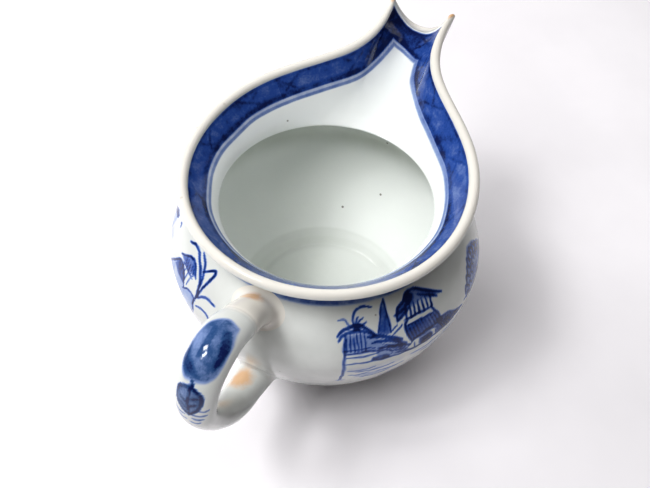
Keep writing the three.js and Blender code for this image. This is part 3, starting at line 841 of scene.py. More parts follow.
def band_density(rim, points):
    """The cobalt band below the lip and the line below it, by distance from the rim.

    The band has a lattice of faded diamonds and dark edges, is wider on the jug's right and is darker,
    as painted shade, inside the spout on its left.
    """
    start = rim.size.spout_start
    shares = np.linspace(0, 1, 140)
    runs = [rim.circle(np.linspace(start, 2 * math.pi - start, 420))[0],
            rim.side(shares, -1)[0][1:], rim.notch(np.linspace(-1, 1, 60))[0][1:-1],
            rim.side(shares[::-1], 1)[0]]
    line = np.concatenate(runs)
    along = np.concatenate([[0], np.cumsum(np.linalg.norm(np.diff(line, axis=0), axis=1))])
    tree = kdtree.KDTree(len(line))
    for i, place in enumerate(line):
        tree.insert(place, i)
    tree.balance()
    found = [tree.find(place)[1:] for place in points.tolist()]
    travelled = along[[f[0] for f in found]]
    away = np.array([f[1] for f in found])
    unsteady = 0.35 * wander(travelled, travelled * 0, 4.1, 1.0)
    right_side = smoothstep(points[:, 0], -8, 26) * smoothstep(-points[:, 1], -4, 6)
    in_spout = smoothstep(points[:, 0], 40, 56)
    top = 2.2 + 0.5 * unsteady
    bottom = 9.6 + unsteady + (1.6 + 2.2 * in_spout) * right_side
    band = smoothstep(away, top - 0.35, top + 0.35)
    band = band * (1 - smoothstep(away, bottom - 0.4, bottom + 0.5))
    diamond, lean, crossing = 23.0, 19.0, 6
    skew = 0.8 * wander(travelled, away, 3.0, 7.0)
    lattice = np.zeros(len(away))
    for way in (1, -1):
        phase = ((travelled + skew) / diamond + way * (away - crossing) / lean) % 1
        faded = 0.65 + 0.35 * wander(travelled, away, 5.0, 2.0 + way)
        off_line = np.abs(phase - 0.5) * diamond
        lattice = np.maximum(lattice, faded * (1 - smoothstep(off_line, 0.2, 1.2)))
    edges = np.maximum(0.6 - 0.6 * smoothstep(np.abs(away - top - 0.5), 0.2, 0.9),
                       1 - smoothstep(np.abs(away - bottom + 0.8), 0.3, 1.8))
    ground = 0.74 + 0.09 * wander(travelled, away, 4.4, 3.0)
    ground = ground + 0.04 * wander(travelled, away, 1.1, 6.0)
    # painted shade: the band is made denser inside the spout on its left, where shade falls
    ground = ground + 0.22 * smoothstep(points[:, 0], 46, 58) * (1 - right_side)
    density = band * np.clip(ground + 0.2 * np.maximum(lattice, edges), 0, 1.15)
    thin = bottom + 1.5 - 0.9 * right_side
    line_below = 1 - smoothstep(np.abs(away - thin), 0.2, 1.0)
    haze = (1 - smoothstep(np.abs(away - bottom - 0.7), 0.3, 1.9)) * (0.26 + 0.2 * right_side)
    return np.maximum(density, np.maximum(haze, 0.5 * line_below))


def collar_piece(name, node, stations, rows):
    """One run of the collar's wall, painted inside, as a closed body."""
    rim = Rim()
    points, face = rim.sections(stations(rim), rows)
    count, wide = points.shape[:2]
    cobalt = np.zeros((count, wide))
    inside = face == INNER_FACE
    cobalt[inside] = band_density(rim, points[inside].reshape(-1, 3)).reshape(-1, wide)
    inner = np.repeat(inside[:, None], wide, axis=1).astype(float)
    lip_row = int(np.argmax(face == LIP_FACE)) + LIP_ROWS // 2 + 1
    height_below = points[lip_row][None, :, 2] - points[:, :, 2]
    worn = np.clip(1 - height_below / 2.4, 0, 1) * ~inside[:, None]
    worn = np.maximum(worn, np.clip(1 - height_below / 1.5, 0, 1))
    tip = rim.height(rim.reach)
    ears = smoothstep(points[:, :, 2], tip - 1.3, tip - 0.1)
    outside = (face == OUTER_FACE)[:, None]
    neck_blue = np.clip(1 - (points[:, :, 2] - rim.floor) / 1.3, 0, 1) * outside
    unsteady = 0.5 + 0.4 * wander(np.arctan2(points[:, :, 1], points[:, :, 0]) * 8, 0, 1.0, 4.0)
    cobalt = np.maximum(cobalt, neck_blue * unsteady)
    flat = points.reshape(-1, 3) + np.array([AXIS_X, 0, 0])
    faces = [corners[::-1] for corners in quads(count, wide, True, False)]
    faces.append([i * wide for i in range(count)])
    faces.append([i * wide + wide - 1 for i in range(count)][::-1])
    piece = bare_mesh(name, flat, faces, {
        "cobalt": cobalt, "inner": inner, "worn": worn, "ears": ears})
    settle(piece, node, "collar_glaze")


class JUG_OT_collar(bpy.types.Operator):
    """Make the flared collar with its painted band"""
    bl_idname = "jug.collar"
    bl_label = "Collar"

    def execute(self, context):
        collar_piece("collar_thrown", "collar", Rim.collar_stations, 52)
        return {"FINISHED"}


class JUG_OT_spout(bpy.types.Operator):
    """Make the spout drawn out of the collar, with its two ears"""
    bl_idname = "jug.spout"
    bl_label = "Spout"

    def execute(self, context):
        collar_piece("spout_drawn", "spout", Rim.spout_stations, 110)
        return {"FINISHED"}


# ---------------------------------------------------------------- handle

def centripetal_line(points):
    """A smooth line through points that neither loops nor overshoots."""
    p = run_on(np.asarray(points, dtype=float))
    t = np.linspace(0, 1, 160, endpoint=False)[:, None]
    line = []
    for a, b, c, d in zip(p, p[1:], p[2:], p[3:]):
        before, here, after = (np.linalg.norm(v) ** 0.5 for v in (b - a, c - b, d - c))
        leave = ((b - a) / before - (c - a) / (before + here) + (c - b) / here) * here
        arrive = ((c - b) / here - (d - b) / (here + after) + (d - c) / after) * here
        line.append(b + leave * t + (-3 * b + 3 * c - 2 * leave - arrive) * t ** 2
                    + (2 * b - 2 * c + leave + arrive) * t ** 3)
    return np.vstack(line + [p[-2:-1]])


class Strap:
    """The pulled strap: its middle line in the plane of symmetry and its oval rings."""

    def __init__(self):
        body, size = bpy.context.scene.jug_body, bpy.context.scene.jug_handle
        self.size = size
        self.wall_r, self.wall_z, self.wall_s = outside_wall(body_walls())
        throat, belly = body.throat_height / MM, body.belly_height / MM
        upper_z = throat - size.upper_drop / MM
        lower_z = belly - size.lower_drop / MM
        upper_x = -np.interp(upper_z, self.wall_z, self.wall_r)
        lower_x = -np.interp(lower_z, self.wall_z, self.wall_r)
        bend = -(body.belly_radius + size.reach) / MM
        crest = throat + size.top_rise / MM
        span = upper_x - bend
        self.line = centripetal_line([
            (upper_x + 6, upper_z - 6), (upper_x, upper_z),
            (upper_x - 0.24 * span, crest - 4.4), (upper_x - 0.55 * span, crest),
            (bend + 0.13 * span, crest - 3.6), (bend, crest - 14),
            (bend + 0.12 * span, lower_z + 17), (bend + 0.45 * span, lower_z + 4),
            (lower_x, lower_z), (lower_x + 6, lower_z - 2)])
        self.along = np.concatenate([[0], np.cumsum(np.hypot(*np.diff(self.line, axis=0).T))])
        self.full = self.along[-1]
        self.inside = 7.0        # length of the middle line that runs on into the body
        self.end = size.terminal / MM + self.inside
        self.turns = np.linspace(0, 2 * math.pi, STRAP_SIDES, endpoint=False)

    def at(self, distance):
        """The middle line's x and z at each distance along it."""
        return (np.interp(distance, self.along, self.line[:, 0]),
                np.interp(distance, self.along, self.line[:, 1]))

    def wall_at(self, up):
        """The body's outside radius and height at a distance up from its widest line."""
        return np.interp(up, self.wall_s, self.wall_r), np.interp(up, self.wall_s, self.wall_z)

    def rings(self, distance):
        """Points round the strap at each distance along its middle line."""
        x, z = self.at(distance)
        ahead_x, ahead_z = self.at(distance + 0.3)
        behind_x, behind_z = self.at(distance - 0.3)
        dx, dz = ahead_x - behind_x, ahead_z - behind_z
        long = np.hypot(dx, dz)
        out_x, out_z = -dz / long, dx / long
        share = distance / self.full
        root = np.minimum(distance, self.full - distance) - self.inside
        spread = smoothstep(self.end - self.inside - root, 0, self.end - self.inside)
        scale = (1 + (self.size.root_flare - 1) * spread) / 2
        crest = 0.32
        from_crest = np.minimum(np.abs(share - crest) / crest, 1)
        widening = 0.5 + 0.5 * np.cos(math.pi * from_crest)
        width = (self.size.width + (self.size.crest_width - self.size.width) * widening) / MM
        thick = self.size.thickness / MM
        side, up = np.cos(self.turns), np.sin(self.turns)
        return np.stack([
            x[:, None] + (thick * scale * out_x)[:, None] * up[None, :],
            (width * scale)[:, None] * side[None, :],
            z[:, None] + (thick * scale * out_z)[:, None] * up[None, :]], axis=2)

    def above_wall(self, points):
        """How far points stand out from the body's wall, square to the jug's axis."""
        return np.hypot(points[..., 0], points[..., 1]) - np.interp(
            points[..., 2], self.wall_z, self.wall_r)

    def on_wall(self, turn, up, lift):
        """A point on the body's wall, lifted a little off it."""
        radius, height = self.wall_at(up)
        above_r, above_z = self.wall_at(up + 0.2)
        below_r, below_z = self.wall_at(up - 0.2)
        slope_r, slope_z = above_r - below_r, above_z - below_z
        long = np.hypot(slope_r, slope_z) + TINY
        radius = radius + lift * slope_z / long
        height = height - lift * slope_r / long
        return np.stack([radius * np.cos(turn), radius * np.sin(turn), height], axis=-1)

    def root(self, upper):
        """A terminal's rings from its joint with the loop down onto the body's wall."""
        way = 1 if upper else -1
        start = self.end if upper else self.full - self.end
        root = self.inside if upper else self.full - self.inside
        search = np.linspace(start, root - way * 6.5, 220)
        lines = self.rings(search)
        stand = self.above_wall(lines)
        hit = np.argmax(stand < 0, axis=0)
        if (hit == 0).any():
            raise RuntimeError("the strap's root misses the body")
        columns = np.arange(len(self.turns))
        outer, inner = stand[hit - 1, columns], stand[hit, columns]
        share = outer / (outer - inner)
        meet = lines[hit - 1, columns] * (1 - share)[:, None] + lines[hit, columns] * share[:, None]
        reach = search[hit - 1] + (search[hit] - search[hit - 1]) * share
        turn = np.arctan2(meet[:, 1], meet[:, 0]) % (2 * math.pi)
        up = np.interp(meet[:, 2], self.wall_z, self.wall_s)
        centre_turn, centre_up = turn.mean(), up.mean()
        radius = np.interp(up, self.wall_s, self.wall_r)
        east, north = (turn - centre_turn) * radius, up - centre_up
        far = np.hypot(east, north)
        fillet = self.size.fillet / MM
        highest = self.wall_s[-1] - 0.9
        skin = 0.03              # least height of the fillet over the body's wall
        spread = fillet * (1 + 0.15 * np.cos(2 * self.turns))
        foot_turn = turn + east / far * spread / radius
        foot_up = np.minimum(up + north / far * spread, highest)
        leave = reach + way * fillet * 1.15
        leave = np.maximum(leave, start + 0.5) if not upper else np.minimum(leave, start - 0.5)
        rows = []
        for t in np.linspace(0, 1, 13):
            rows.append(self.side_points(start + (leave - start) * t))
        begin = self.side_points(leave)
        foot = self.on_wall(foot_turn, foot_up, 0.0)
        for t in np.linspace(0, 1, 11)[1:]:
            point = begin * (1 - t) ** 2 + meet * 2 * t * (1 - t) + foot * t * t
            at_turn = np.arctan2(point[:, 1], point[:, 0]) % (2 * math.pi)
            at_up = np.interp(point[:, 2], self.wall_z, self.wall_s)
            low = self.above_wall(point) < skin
            fixed = self.on_wall(at_turn, np.minimum(at_up, highest), skin)
            rows.append(np.where(low[:, None], fixed, point))
        for lift, drawn in ((-0.06, 1.0), (-0.9, 0.9), (-1.0, 0.5)):
            rows.append(self.on_wall(centre_turn + (foot_turn - centre_turn) * drawn,
                                     centre_up + (foot_up - centre_up) * drawn, lift))
        return np.array(rows)

    def side_points(self, distance):
        """The strap's own surface with a separate distance for each side."""
        rings = self.rings(distance)
        columns = np.arange(len(self.turns))
        return rings[columns, columns]


def iron_stain(rows):
    """Where iron has stained the strap: on the upper terminal and inside the lower end."""
    spots = [((-44.0, 2.0, 66.4), (3.0, 4.6, 3.0)), ((-54.0, 2.0, 33.4), (5.5, 4.6, 3.4))]
    away = [np.linalg.norm((rows - np.array(middle)) / np.array(reach), axis=2)
            for middle, reach in spots]
    return np.clip(1.25 - np.minimum(*away), 0, 1)


def strap_piece(name, node, rows, values):
    """A closed piece of strap from rows of points, its ends closed by fans."""
    count, wide = rows.shape[:2]
    points = rows.reshape(-1, 3)
    faces = quads(count, wide, False, True)
    first, last = points[:wide].mean(axis=0), points[-wide:].mean(axis=0)
    points = np.vstack([points, [first], [last]])
    a, b = count * wide, count * wide + 1
    for i in range(wide):
        j = (i + 1) % wide
        faces.append([a, j, i])
        faces.append([b, (count - 1) * wide + i, (count - 1) * wide + j])
    values = {key: np.concatenate([v.ravel(), [0, 0]]) for key, v in values.items()}
    piece = bare_mesh(name, points + np.array([AXIS_X, 0, 0]), faces, values, 60)
    settle(piece, node, "handle_glaze")


class JUG_OT_handle(bpy.types.Operator):
    """Make the pulled strap handle: two smoothed-on terminals and the loop between them"""
    bl_idname = "jug.handle"
    bl_label = "Handle"

    def execute(self, context):
        strap = Strap()
        self.make_loop(strap)
        self.make_root(strap, True)
        self.make_root(strap, False)
        return {"FINISHED"}

    def make_loop(self, strap):
        distance = spaced(strap.end, strap.full - strap.end, 0.5, 0.12)
        rows = strap.rings(distance)
        rows = self.crease(rows, distance - strap.end)
        mean_radius = 5.6
        outer_face = (strap.turns + 1.5 * math.pi) % (2 * math.pi) - math.pi
        across = outer_face * mean_radius
        order = np.argsort(across)
        p = Painting(across[order], distance, np.ones(len(distance)))
        paint_strap(p)
        cobalt = np.empty_like(p.density)
        cobalt[:, order] = p.density
        warm = 1 - smoothstep(distance, strap.end + 2, strap.end + 9)
        strap_piece("handle_loop_pulled", "handle_loop", rows, {
            "cobalt": np.clip(cobalt, 0, 1.1), "stain": iron_stain(rows),
            "worn": np.repeat(warm[:, None], rows.shape[1], axis=1)})

    def crease(self, rows, from_joint):
        """The shallow double crease where the loop was luted to its upper terminal."""
        mean_radius = 5
        dent = 0.16 * hump(from_joint, 4.3, 0.45) + 0.12 * hump(from_joint, 5.6, 0.4)
        centre = rows.mean(axis=1, keepdims=True)
        shrink = 1 - dent[:, None, None] / mean_radius
        return centre + (rows - centre) * shrink

    def make_root(self, strap, upper):
        rows = strap.root(upper)
        rows = rows[::-1] if upper else rows
        name = "upper" if upper else "lower"
        worn = np.full(rows.shape[:2], 1.0 if upper else 0.3)
        strap_piece(f"handle_{name}_root", f"handle_{name}_terminal", rows, {
            "cobalt": np.zeros(rows.shape[:2]), "stain": iron_stain(rows), "worn": worn})


def paint_strap(p):
    """Cobalt on the strap's outer face: a long oval, a link, a leaf and short dashes."""
    p.wash([(-3.6, 26.8), (-4.9, 29.8), (-5.4, 33), (-5.5, 36), (-4.6, 39), (-2, 40.6), (0.8, 41),
            (3, 40.6), (4.9, 39), (5.8, 36), (5.7, 32), (4.4, 28.8), (2, 26.8), (-0.8, 26)], 0.6, 1.1)
    p.wash([(-0.8, 29), (-3, 28.2), (-4.8, 31), (-5.0, 35), (-3.4, 37.6), (-2.2, 33.4)], 0.86, 1.0)
    p.wash([(5.2, 33.6), (6.0, 37), (4.2, 39.8), (1.2, 40.3), (-1.6, 39.8), (2.6, 37.2)], 0.74, 1.0)
    p.stroke([(1.4, 29), (1.0, 32), (1.3, 36)], 1.6, 0.62)
    p.stroke([(0.6, 40.6), (-0.2, 41.8), (0.6, 43)], 0.9, 0.9)
    p.wash([(3.8, 43.7), (1.7, 42.4), (-0.4, 42.2), (-2.9, 43.2), (-3.4, 45), (-2.5, 47.4),
            (-0.4, 49.5), (1.7, 48.5), (3.8, 46.6)], 0.66, 0.8)
    p.stroke([(-0.4, 42.2), (-2.9, 43.2), (-3.4, 45), (-2.5, 47.4), (-0.4, 49.5)], 1.2, 0.92)
    p.stroke([(-0.4, 42.2), (1.7, 42.4), (3.8, 43.7), (3.8, 46.6), (1.7, 48.5), (-0.4, 49.5)], 1.1, 0.86)
    p.stroke([(0.2, 43), (0.1, 46), (-0.3, 49)], 0.9, 0.88)
    for side, low in ((-2.3, 44.2), (2.4, 45.2), (-1.9, 46.2), (2.0, 47)):
        p.stroke([(0.1, low + 0.9), (side, low)], 0.8, 0.85)
    p.ripples([(-0.4, -5.5, 49.3), (-1.3, -4.4, 50.8), (-2.9, -5.8, 47.4), (0.8, 4.4, 50.2),
               (0.2, 3.0, 51.8), (-0.6, -3.4, 52.4)], -0.3, -0.3, 0.7, 0.62)
    p.wash([(-1.8, 57), (0, 55.4), (1.8, 57), (2.2, 60), (0.2, 63), (-2, 60)], 0.6, 0.9)
    p.stroke([(0, 55), (0.1, 59), (0.1, 64)], 0.9, 0.85)


# ---------------------------------------------------------------- finishes

def add_node(tree, kind, inputs=None, **settings):
    """Add a shader node, set it up and link or fill its inputs."""
    made = tree.nodes.new(kind)
    for key, value in settings.items():
        setattr(made, key, value)
    for key, value in (inputs or {}).items():
        socket = made.inputs[key]
        if isinstance(value, bpy.types.NodeSocket):
            tree.links.new(value, socket)
        else:
            socket.default_value = value
    return made


def maths(tree, kind, first, *rest):
    """Two or more values joined by one kind of sum, from left to right."""
    for value in rest:
        first = add_node(tree, "ShaderNodeMath", {0: first, 1: value}, operation=kind).outputs[0]
    return first


def blend(tree, factor, a, b):
    """Colour a where the factor is nothing, and b where it is one."""
    return add_node(tree, "ShaderNodeMix", {0: factor, 6: a, 7: b}, data_type="RGBA").outputs[2]


def object_place(tree):
    return add_node(tree, "ShaderNodeTexCoord").outputs["Object"]


def ramp(tree, value, low, high, to_low=0.0, to_high=1.0):
    """A value eased from one range into another."""
    made = add_node(tree, "ShaderNodeMapRange", {
        "Value": value, "From Min": low, "From Max": high, "To Min": to_low,
        "To Max": to_high}, interpolation_type="SMOOTHSTEP")
    return made.outputs[0]


def noise_value(tree, place, scale, detail=3.0, rough=0.55, distortion=0.0):
    made = add_node(tree, "ShaderNodeTexNoise", {
        "Vector": place, "Scale": scale, "Detail": detail, "Roughness": rough,
        "Distortion": distortion})
    return made.outputs[0]


def scattered(tree, place, scale, channel, few, size):
    """Round dots with soft edges, in a few of the cells of a cell pattern."""
    cells = add_node(tree, "ShaderNodeTexVoronoi", {"Vector": place, "Scale": scale})
    shades = add_node(tree, "ShaderNodeSeparateColor", {0: cells.outputs["Color"]})
    chosen = ramp(tree, shades.outputs[channel], *few)
    dot = ramp(tree, cells.outputs["Distance"], *size, 1.0, 0.0)
    return maths(tree, "MULTIPLY", dot, chosen)


def new_group(name, inputs, outputs):
    """An empty shader node group with named sockets; gives the tree and its two ends."""
    tree = bpy.data.node_groups.new(name, "ShaderNodeTree")
    for key, kind, value in inputs:
        socket = tree.interface.new_socket(key, in_out="INPUT", socket_type=kind)
        if value is not None:
            socket.default_value = value
    for key, kind in outputs:
        tree.interface.new_socket(key, in_out="OUTPUT", socket_type=kind)
    return tree, tree.nodes.new("NodeGroupInput"), tree.nodes.new("NodeGroupOutput")


def cobalt_group():
    """Cobalt under the glaze: thin washes pale and streaky, full strokes nearly black."""
    tree, start, end = new_group("Cobalt brushwork", [
        ("Ground", "NodeSocketColor", (0.8, 0.8, 0.8, 1)),
        ("Density", "NodeSocketFloat", 0.0),
        ("Wash", "NodeSocketColor", (0.2, 0.3, 0.6, 1)),
        ("Cobalt", "NodeSocketColor", (0.05, 0.1, 0.4, 1)),
        ("Deep", "NodeSocketColor", (0.01, 0.02, 0.1, 1)),
        ("Streaks", "NodeSocketFloat", 0.3)], [("Color", "NodeSocketColor")])
    place = object_place(tree)
    cloud = noise_value(tree, place, 260, 4, 0.6)
    grain = noise_value(tree, place, 1400, 2, 0.5)
    uneven = maths(tree, "ADD", maths(tree, "MULTIPLY", cloud, 1.5),
                   maths(tree, "MULTIPLY", grain, 0.5))
    uneven = maths(tree, "SUBTRACT", uneven, 1.0)
    change = maths(tree, "MULTIPLY", uneven, start.outputs["Streaks"])
    factor = maths(tree, "ADD", change, 1.0)
    density = maths(tree, "MULTIPLY", start.outputs["Density"], factor)
    thin = blend(tree, ramp(tree, density, 0.02, 0.42), start.outputs["Ground"],
                 start.outputs["Wash"])
    full = blend(tree, ramp(tree, density, 0.34, 0.78), thin, start.outputs["Cobalt"])
    deep = blend(tree, ramp(tree, density, 0.74, 1.05), full, start.outputs["Deep"])
    tree.links.new(deep, end.inputs["Color"])


def glaze_group():
    """Fired glaze: soft mottling, iron specks, pinholes and a slightly wavy skin."""
    tree, start, end = new_group("Glaze skin", [
        ("Color", "NodeSocketColor", (0.8, 0.8, 0.8, 1)),
        ("Clouds", "NodeSocketColor", (0.6, 0.65, 0.6, 1)),
        ("Mottle", "NodeSocketFloat", 0.25),
        ("Specks", "NodeSocketFloat", 0.5),
        ("Gloss", "NodeSocketFloat", 0.1)], [
        ("Color", "NodeSocketColor"), ("Roughness", "NodeSocketFloat"),
        ("Height", "NodeSocketFloat")])
    place = object_place(tree)
    cloud = noise_value(tree, place, 38, 4, 0.55)
    clouded = maths(tree, "MULTIPLY", ramp(tree, cloud, 0.35, 0.72), start.outputs["Mottle"])
    mottled = blend(tree, clouded, start.outputs["Color"], start.outputs["Clouds"])
    specks = scattered(tree, place, 150, 0, (0.78, 0.80), (0.05, 0.09))
    specks = maths(tree, "MULTIPLY", specks, start.outputs["Specks"])
    iron = (0.10, 0.075, 0.055, 1)
    tree.links.new(blend(tree, specks, mottled, iron), end.inputs["Color"])
    rub = noise_value(tree, place, 120, 3, 0.6)
    rough = maths(tree, "ADD", start.outputs["Gloss"], ramp(tree, rub, 0.45, 0.75, 0.0, 0.07))
    tree.links.new(rough, end.inputs["Roughness"])
    wave = noise_value(tree, place, 90, 2, 0.5)
    peel = maths(tree, "MULTIPLY", noise_value(tree, place, 620, 2, 0.5), 0.06)
    pits = scattered(tree, place, 240, 1, (0.90, 0.92), (0.03, 0.08))
    pits = maths(tree, "MULTIPLY", pits, 0.12)
    skin = maths(tree, "SUBTRACT", maths(tree, "ADD", wave, peel), pits)
    tree.links.new(skin, end.inputs["Height"])


def stain_group():
    """A stain that soaks in unevenly from a painted mask."""
    tree, start, end = new_group("Soaked stain", [
        ("Color", "NodeSocketColor", (0.8, 0.8, 0.8, 1)),
        ("Stain", "NodeSocketColor", (0.6, 0.35, 0.15, 1)),
        ("Mask", "NodeSocketFloat", 0.0),
        ("Amount", "NodeSocketFloat", 0.6)], [("Color", "NodeSocketColor")])
    place = object_place(tree)
    cloud = noise_value(tree, place, 330, 4, 0.65, 0.3)
    patchy = maths(tree, "MULTIPLY", maths(tree, "SUBTRACT", cloud, 0.55), 0.9)
    soaked = ramp(tree, maths(tree, "ADD", start.outputs["Mask"], patchy), 0.12, 0.85)
    present = ramp(tree, start.outputs["Mask"], 0.0, 0.12)
    factor = maths(tree, "MULTIPLY", soaked, present, start.outputs["Amount"])
    tree.links.new(blend(tree, factor, start.outputs["Color"], start.outputs["Stain"]),
                   end.inputs["Color"])


def opaque(colour_value):
    return (*colour_value, 1.0)


def mask(tree, name):
    """The mask that was laid on a piece's points under this name."""
    return add_node(tree, "ShaderNodeAttribute", attribute_name=name).outputs["Fac"]


def grouped(tree, name, inputs):
    """A node group placed in a material; gives its outputs."""
    return add_node(tree, "ShaderNodeGroup", inputs, node_tree=bpy.data.node_groups[name]).outputs


def new_material(name):
    """An empty material with its Principled shader; gives the three of them."""
    material = bpy.data.materials.new(name)
    material.use_nodes = True
    tree = material.node_tree
    tree.nodes.clear()
    shader = tree.nodes.new("ShaderNodeBsdfPrincipled")
    output = tree.nodes.new("ShaderNodeOutputMaterial")
    tree.links.new(shader.outputs[0], output.inputs["Surface"])
    return material, tree, shader


def glaze_material(name, stains, cobalt, gloss, mottle):
    """Glazed porcelain: glaze skin, cobalt below it and any stains from the piece's masks."""
    colours = bpy.context.scene.jug_colours
    _, tree, shader = new_material(name)
    # painted light and shade: the inside takes the whiter colour and the outside the greyer one
    inner = ramp(tree, mask(tree, "inner"), 0.0, 1.0)
    ground = blend(tree, inner, opaque(colours.glaze), opaque(colours.lit_inner_glaze))
    # painted shade inside the jug from the pool mask, with some real pooled glaze in the floor's cove
    ground = blend(tree, mask(tree, "pool"), ground, opaque(colours.shade_and_thick_glaze))
    skin = grouped(tree, "Glaze skin", {
        "Color": ground, "Clouds": opaque(colours.lit_inner_glaze), "Mottle": mottle,
        "Gloss": gloss, "Specks": 0.75})
    colour_now = skin["Color"]
    for key, stain, strength in stains:
        colour_now = grouped(tree, "Soaked stain", {
            "Color": colour_now, "Stain": opaque(stain), "Mask": mask(tree, key),
            "Amount": strength})["Color"]
    painted = grouped(tree, "Cobalt brushwork", {
        "Ground": colour_now, "Density": mask(tree, "cobalt"), "Wash": opaque(colours.wash),
        "Cobalt": opaque(cobalt), "Deep": opaque(colours.deep_cobalt), "Streaks": 0.55})
    tree.links.new(painted["Color"], shader.inputs["Base Color"])
    tree.links.new(skin["Roughness"], shader.inputs["Roughness"])
    bump = add_node(tree, "ShaderNodeBump", {"Height": skin["Height"], "Strength": 0.35,
                                             "Distance": 0.0009})
    tree.links.new(bump.outputs[0], shader.inputs["Normal"])
    shader.inputs["IOR"].default_value = 1.52


def clay_material():
    """The foot: bare biscuit on the standing edge, glaze above it."""
    colours = bpy.context.scene.jug_colours
    _, tree, shader = new_material(FINISHES["foot_clay"])
    bare = mask(tree, "bare")
    place = object_place(tree)
    skin = grouped(tree, "Glaze skin", {
        "Color": opaque(colours.glaze), "Clouds": opaque(colours.lit_inner_glaze), "Mottle": 0.4})
    sand = noise_value(tree, place, 900, 5, 0.65)
    dark_sand = (0.36, 0.28, 0.2, 1)
    clay = blend(tree, ramp(tree, sand, 0.3, 0.75), opaque(colours.clay), dark_sand)
    edge = maths(tree, "MULTIPLY", bare, maths(tree, "SUBTRACT", 1.0, bare), 3.0)
    colour_now = blend(tree, bare, skin["Color"], clay)
    colour_now = blend(tree, edge, colour_now, opaque(colours.iron))
    tree.links.new(colour_now, shader.inputs["Base Color"])
    rough = maths(tree, "ADD", skin["Roughness"], maths(tree, "MULTIPLY", bare, 0.6))
    tree.links.new(rough, shader.inputs["Roughness"])
    height = maths(tree, "ADD", skin["Height"], maths(tree, "MULTIPLY", sand, bare, 0.8))
    bump = add_node(tree, "ShaderNodeBump", {"Height": height, "Strength": 0.4, "Distance": 0.0006})
    tree.links.new(bump.outputs[0], shader.inputs["Normal"])


class JUG_OT_finishes(bpy.types.Operator):
    """Make the glazes, the cobalt and the bare clay"""
    bl_idname = "jug.finishes"
    bl_label = "Finishes"

    def execute(self, context):
        colours = context.scene.jug_colours
        cobalt_group()
        glaze_group()
        stain_group()
        glaze_material(FINISHES["body_glaze"], [], colours.cobalt, gloss=0.06, mottle=0.35)
        glaze_material(FINISHES["collar_glaze"],
                       [("worn", colours.lip, 0.7), ("ears", colours.iron, 0.8)],
                       colours.cobalt, gloss=0.07, mottle=0.25)
        glaze_material(FINISHES["handle_glaze"],
                       [("worn", colours.lip, 0.75), ("stain", colours.iron, 0.75)],
                       colours.grey_cobalt, gloss=0.07, mottle=0.35)
        clay_material()
        return {"FINISHED"}


# ---------------------------------------------------------------- stage

def pane(name, place, width, height, power):
    """A rectangular soft light, in metres and watts, that faces the jug."""
    light = bpy.data.lights.new(name, "AREA")
    light.shape = "RECTANGLE"
    light.size, light.size_y = width, height
    light.energy = power
    lamp = placed(name, light)
    lamp.location = place
    to_jug = Vector(STAGE_MIDDLE) - Vector(place)
    lamp.rotation_euler = to_jug.to_track_quat("-Z", "Y").to_euler()
    return lamp


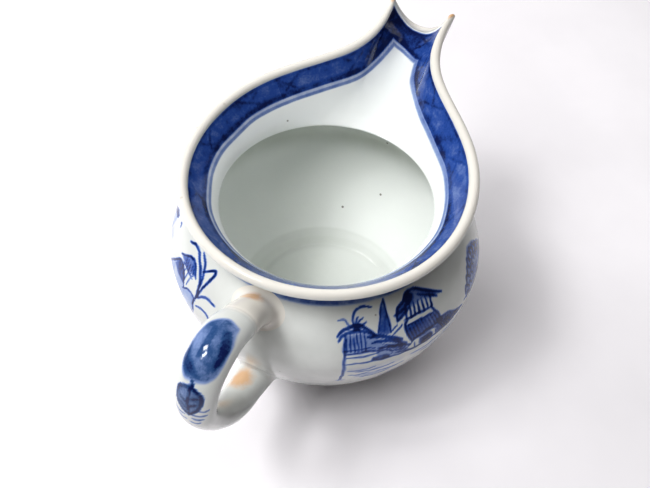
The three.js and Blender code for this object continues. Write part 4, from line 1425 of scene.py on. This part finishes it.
class JUG_OT_stage(bpy.types.Operator):
    """Make the pale floor, the soft lights and the camera"""
    bl_idname = "jug.stage"
    bl_label = "Stage"

    def execute(self, context):
        self.make_floor(context)
        self.make_lights(context)
        self.make_camera(context)
        return {"FINISHED"}

    def make_floor(self, context):
        colours = context.scene.jug_colours
        material, tree, shader = new_material("Plain table")
        place = object_place(tree)
        cloud = noise_value(tree, place, 9, 4, 0.6)
        shade = [c * 0.95 for c in colours.table]
        tone = blend(tree, ramp(tree, cloud, 0.35, 0.7), opaque(colours.table), opaque(shade))
        tree.links.new(tone, shader.inputs["Base Color"])
        shader.inputs["Roughness"].default_value = 0.55
        # far from the jug the table turns into the plain wall behind it, with no dark line between: a
        # painted glow, seen only from the camera, grows from 0.5 to 1.5 m from the table's middle and
        # covers the shade where the lamps' light falls off
        away = add_node(tree, "ShaderNodeVectorMath", {0: place}, operation="LENGTH")
        away = away.outputs["Value"]
        seen = add_node(tree, "ShaderNodeLightPath").outputs["Is Camera Ray"]
        far = maths(tree, "MULTIPLY", ramp(tree, away, 0.5, 1.5), seen)
        wall = [c * context.scene.jug_view.backdrop for c in WALL_TINT]
        tree.links.new(blend(tree, far, (0, 0, 0, 1), opaque(wall)), shader.inputs["Emission Color"])
        shader.inputs["Emission Strength"].default_value = 1.0
        half = TABLE_HALF
        mesh = bpy.data.meshes.new("table_top")
        mesh.from_pydata([(-half, -half, 0), (half, -half, 0), (half, half, 0), (-half, half, 0)],
                         [], [(0, 1, 2, 3)])
        mesh.materials.append(material)
        placed("table_top", mesh)

    def make_lights(self, context):
        """Five soft lights a metre away, two small window panes and a faint even light."""
        view = context.scene.jug_view
        side = 0.5
        for name, turn, rise, power in (
                ("key_light", 148, 53, view.key), ("side_light", 90, 30, view.side),
                ("back_light", 12, 42, view.back), ("fill_light", 330, 45, view.fill),
                ("top_light", 180, 74, view.top)):
            turn, rise = math.radians(turn), math.radians(rise)
            place = (math.cos(turn) * math.cos(rise), math.sin(turn) * math.cos(rise),
                     math.sin(rise) + STAGE_MIDDLE[2])
            pane(name, place, side, side, power).visible_glossy = False
        for name, place in (("window_left", (-0.285, 0.285, 0.76)),
                            ("window_right", (-0.165, 0.365, 0.76))):
            pane(name, place, 0.09, 0.15, view.window)
        world = bpy.data.worlds.new("even_light")
        world.use_nodes = True
        sky = world.node_tree.nodes["Background"]
        sky.inputs["Color"].default_value = opaque(WALL_TINT)
        seen = add_node(world.node_tree, "ShaderNodeLightPath").outputs["Is Camera Ray"]
        wall = maths(world.node_tree, "MULTIPLY", seen, view.backdrop)
        strength = maths(world.node_tree, "ADD", wall, view.sky)
        world.node_tree.links.new(strength, sky.inputs["Strength"])
        context.scene.world = world
        context.scene.view_settings.view_transform = "Standard"
        context.scene.view_settings.look = "Medium High Contrast"

    def make_camera(self, context):
        view = context.scene.jug_view
        forward = Vector((math.cos(view.heading) * math.cos(view.dip),
                          math.sin(view.heading) * math.cos(view.dip), -math.sin(view.dip)))
        level = Vector((math.sin(view.heading), -math.cos(view.heading), 0))
        upright = level.cross(forward)
        right = math.cos(view.roll) * level + math.sin(view.roll) * upright
        top = math.cos(view.roll) * upright - math.sin(view.roll) * level
        turn = Matrix((right, top, -forward)).transposed()
        lens = bpy.data.cameras.new("camera")
        lens.lens = view.lens
        lens.clip_start = 0.01
        camera = placed("camera", lens)
        camera.matrix_world = Matrix.Translation(view.place) @ turn.to_4x4()
        context.scene.camera = camera


# ---------------------------------------------------------------- add-on

PIECES = (JUG_OT_foot_ring, JUG_OT_body, JUG_OT_collar, JUG_OT_spout, JUG_OT_handle)
OPERATORS = (JUG_OT_finishes, *PIECES, JUG_OT_stage)
SETTINGS = {
    "jug_body": JugBodySizes,
    "jug_collar": JugCollarSizes,
    "jug_handle": JugHandleSizes,
    "jug_colours": JugColours,
    "jug_view": JugView,
}


class JUG_PT_panel(bpy.types.Panel):
    """Everything that makes the jug, in order"""
    bl_idname = "JUG_PT_panel"
    bl_label = "Cream jug"
    bl_space_type = "VIEW_3D"
    bl_region_type = "UI"
    bl_category = "Cream jug"

    def draw(self, context):
        column = self.layout.column()
        for operator in OPERATORS:
            column.operator(operator.bl_idname)
        for key, group in SETTINGS.items():
            column.separator()
            for setting in group.__annotations__:
                column.prop(getattr(context.scene, key), setting)


def register():
    for group in SETTINGS.values():
        bpy.utils.register_class(group)
    for key, group in SETTINGS.items():
        setattr(bpy.types.Scene, key, bpy.props.PointerProperty(type=group))
    for cls in (*OPERATORS, JUG_PT_panel):
        bpy.utils.register_class(cls)


def unregister():
    for cls in reversed((*OPERATORS, JUG_PT_panel)):
        bpy.utils.unregister_class(cls)
    for key in SETTINGS:
        delattr(bpy.types.Scene, key)
    for group in reversed(tuple(SETTINGS.values())):
        bpy.utils.unregister_class(group)


def main():
    register()
    bpy.ops.jug.finishes()
    bpy.ops.jug.foot_ring()
    bpy.ops.jug.body()
    bpy.ops.jug.collar()
    bpy.ops.jug.spout()
    bpy.ops.jug.handle()
    bpy.ops.jug.stage()


if __name__ == "__main__":
    main()
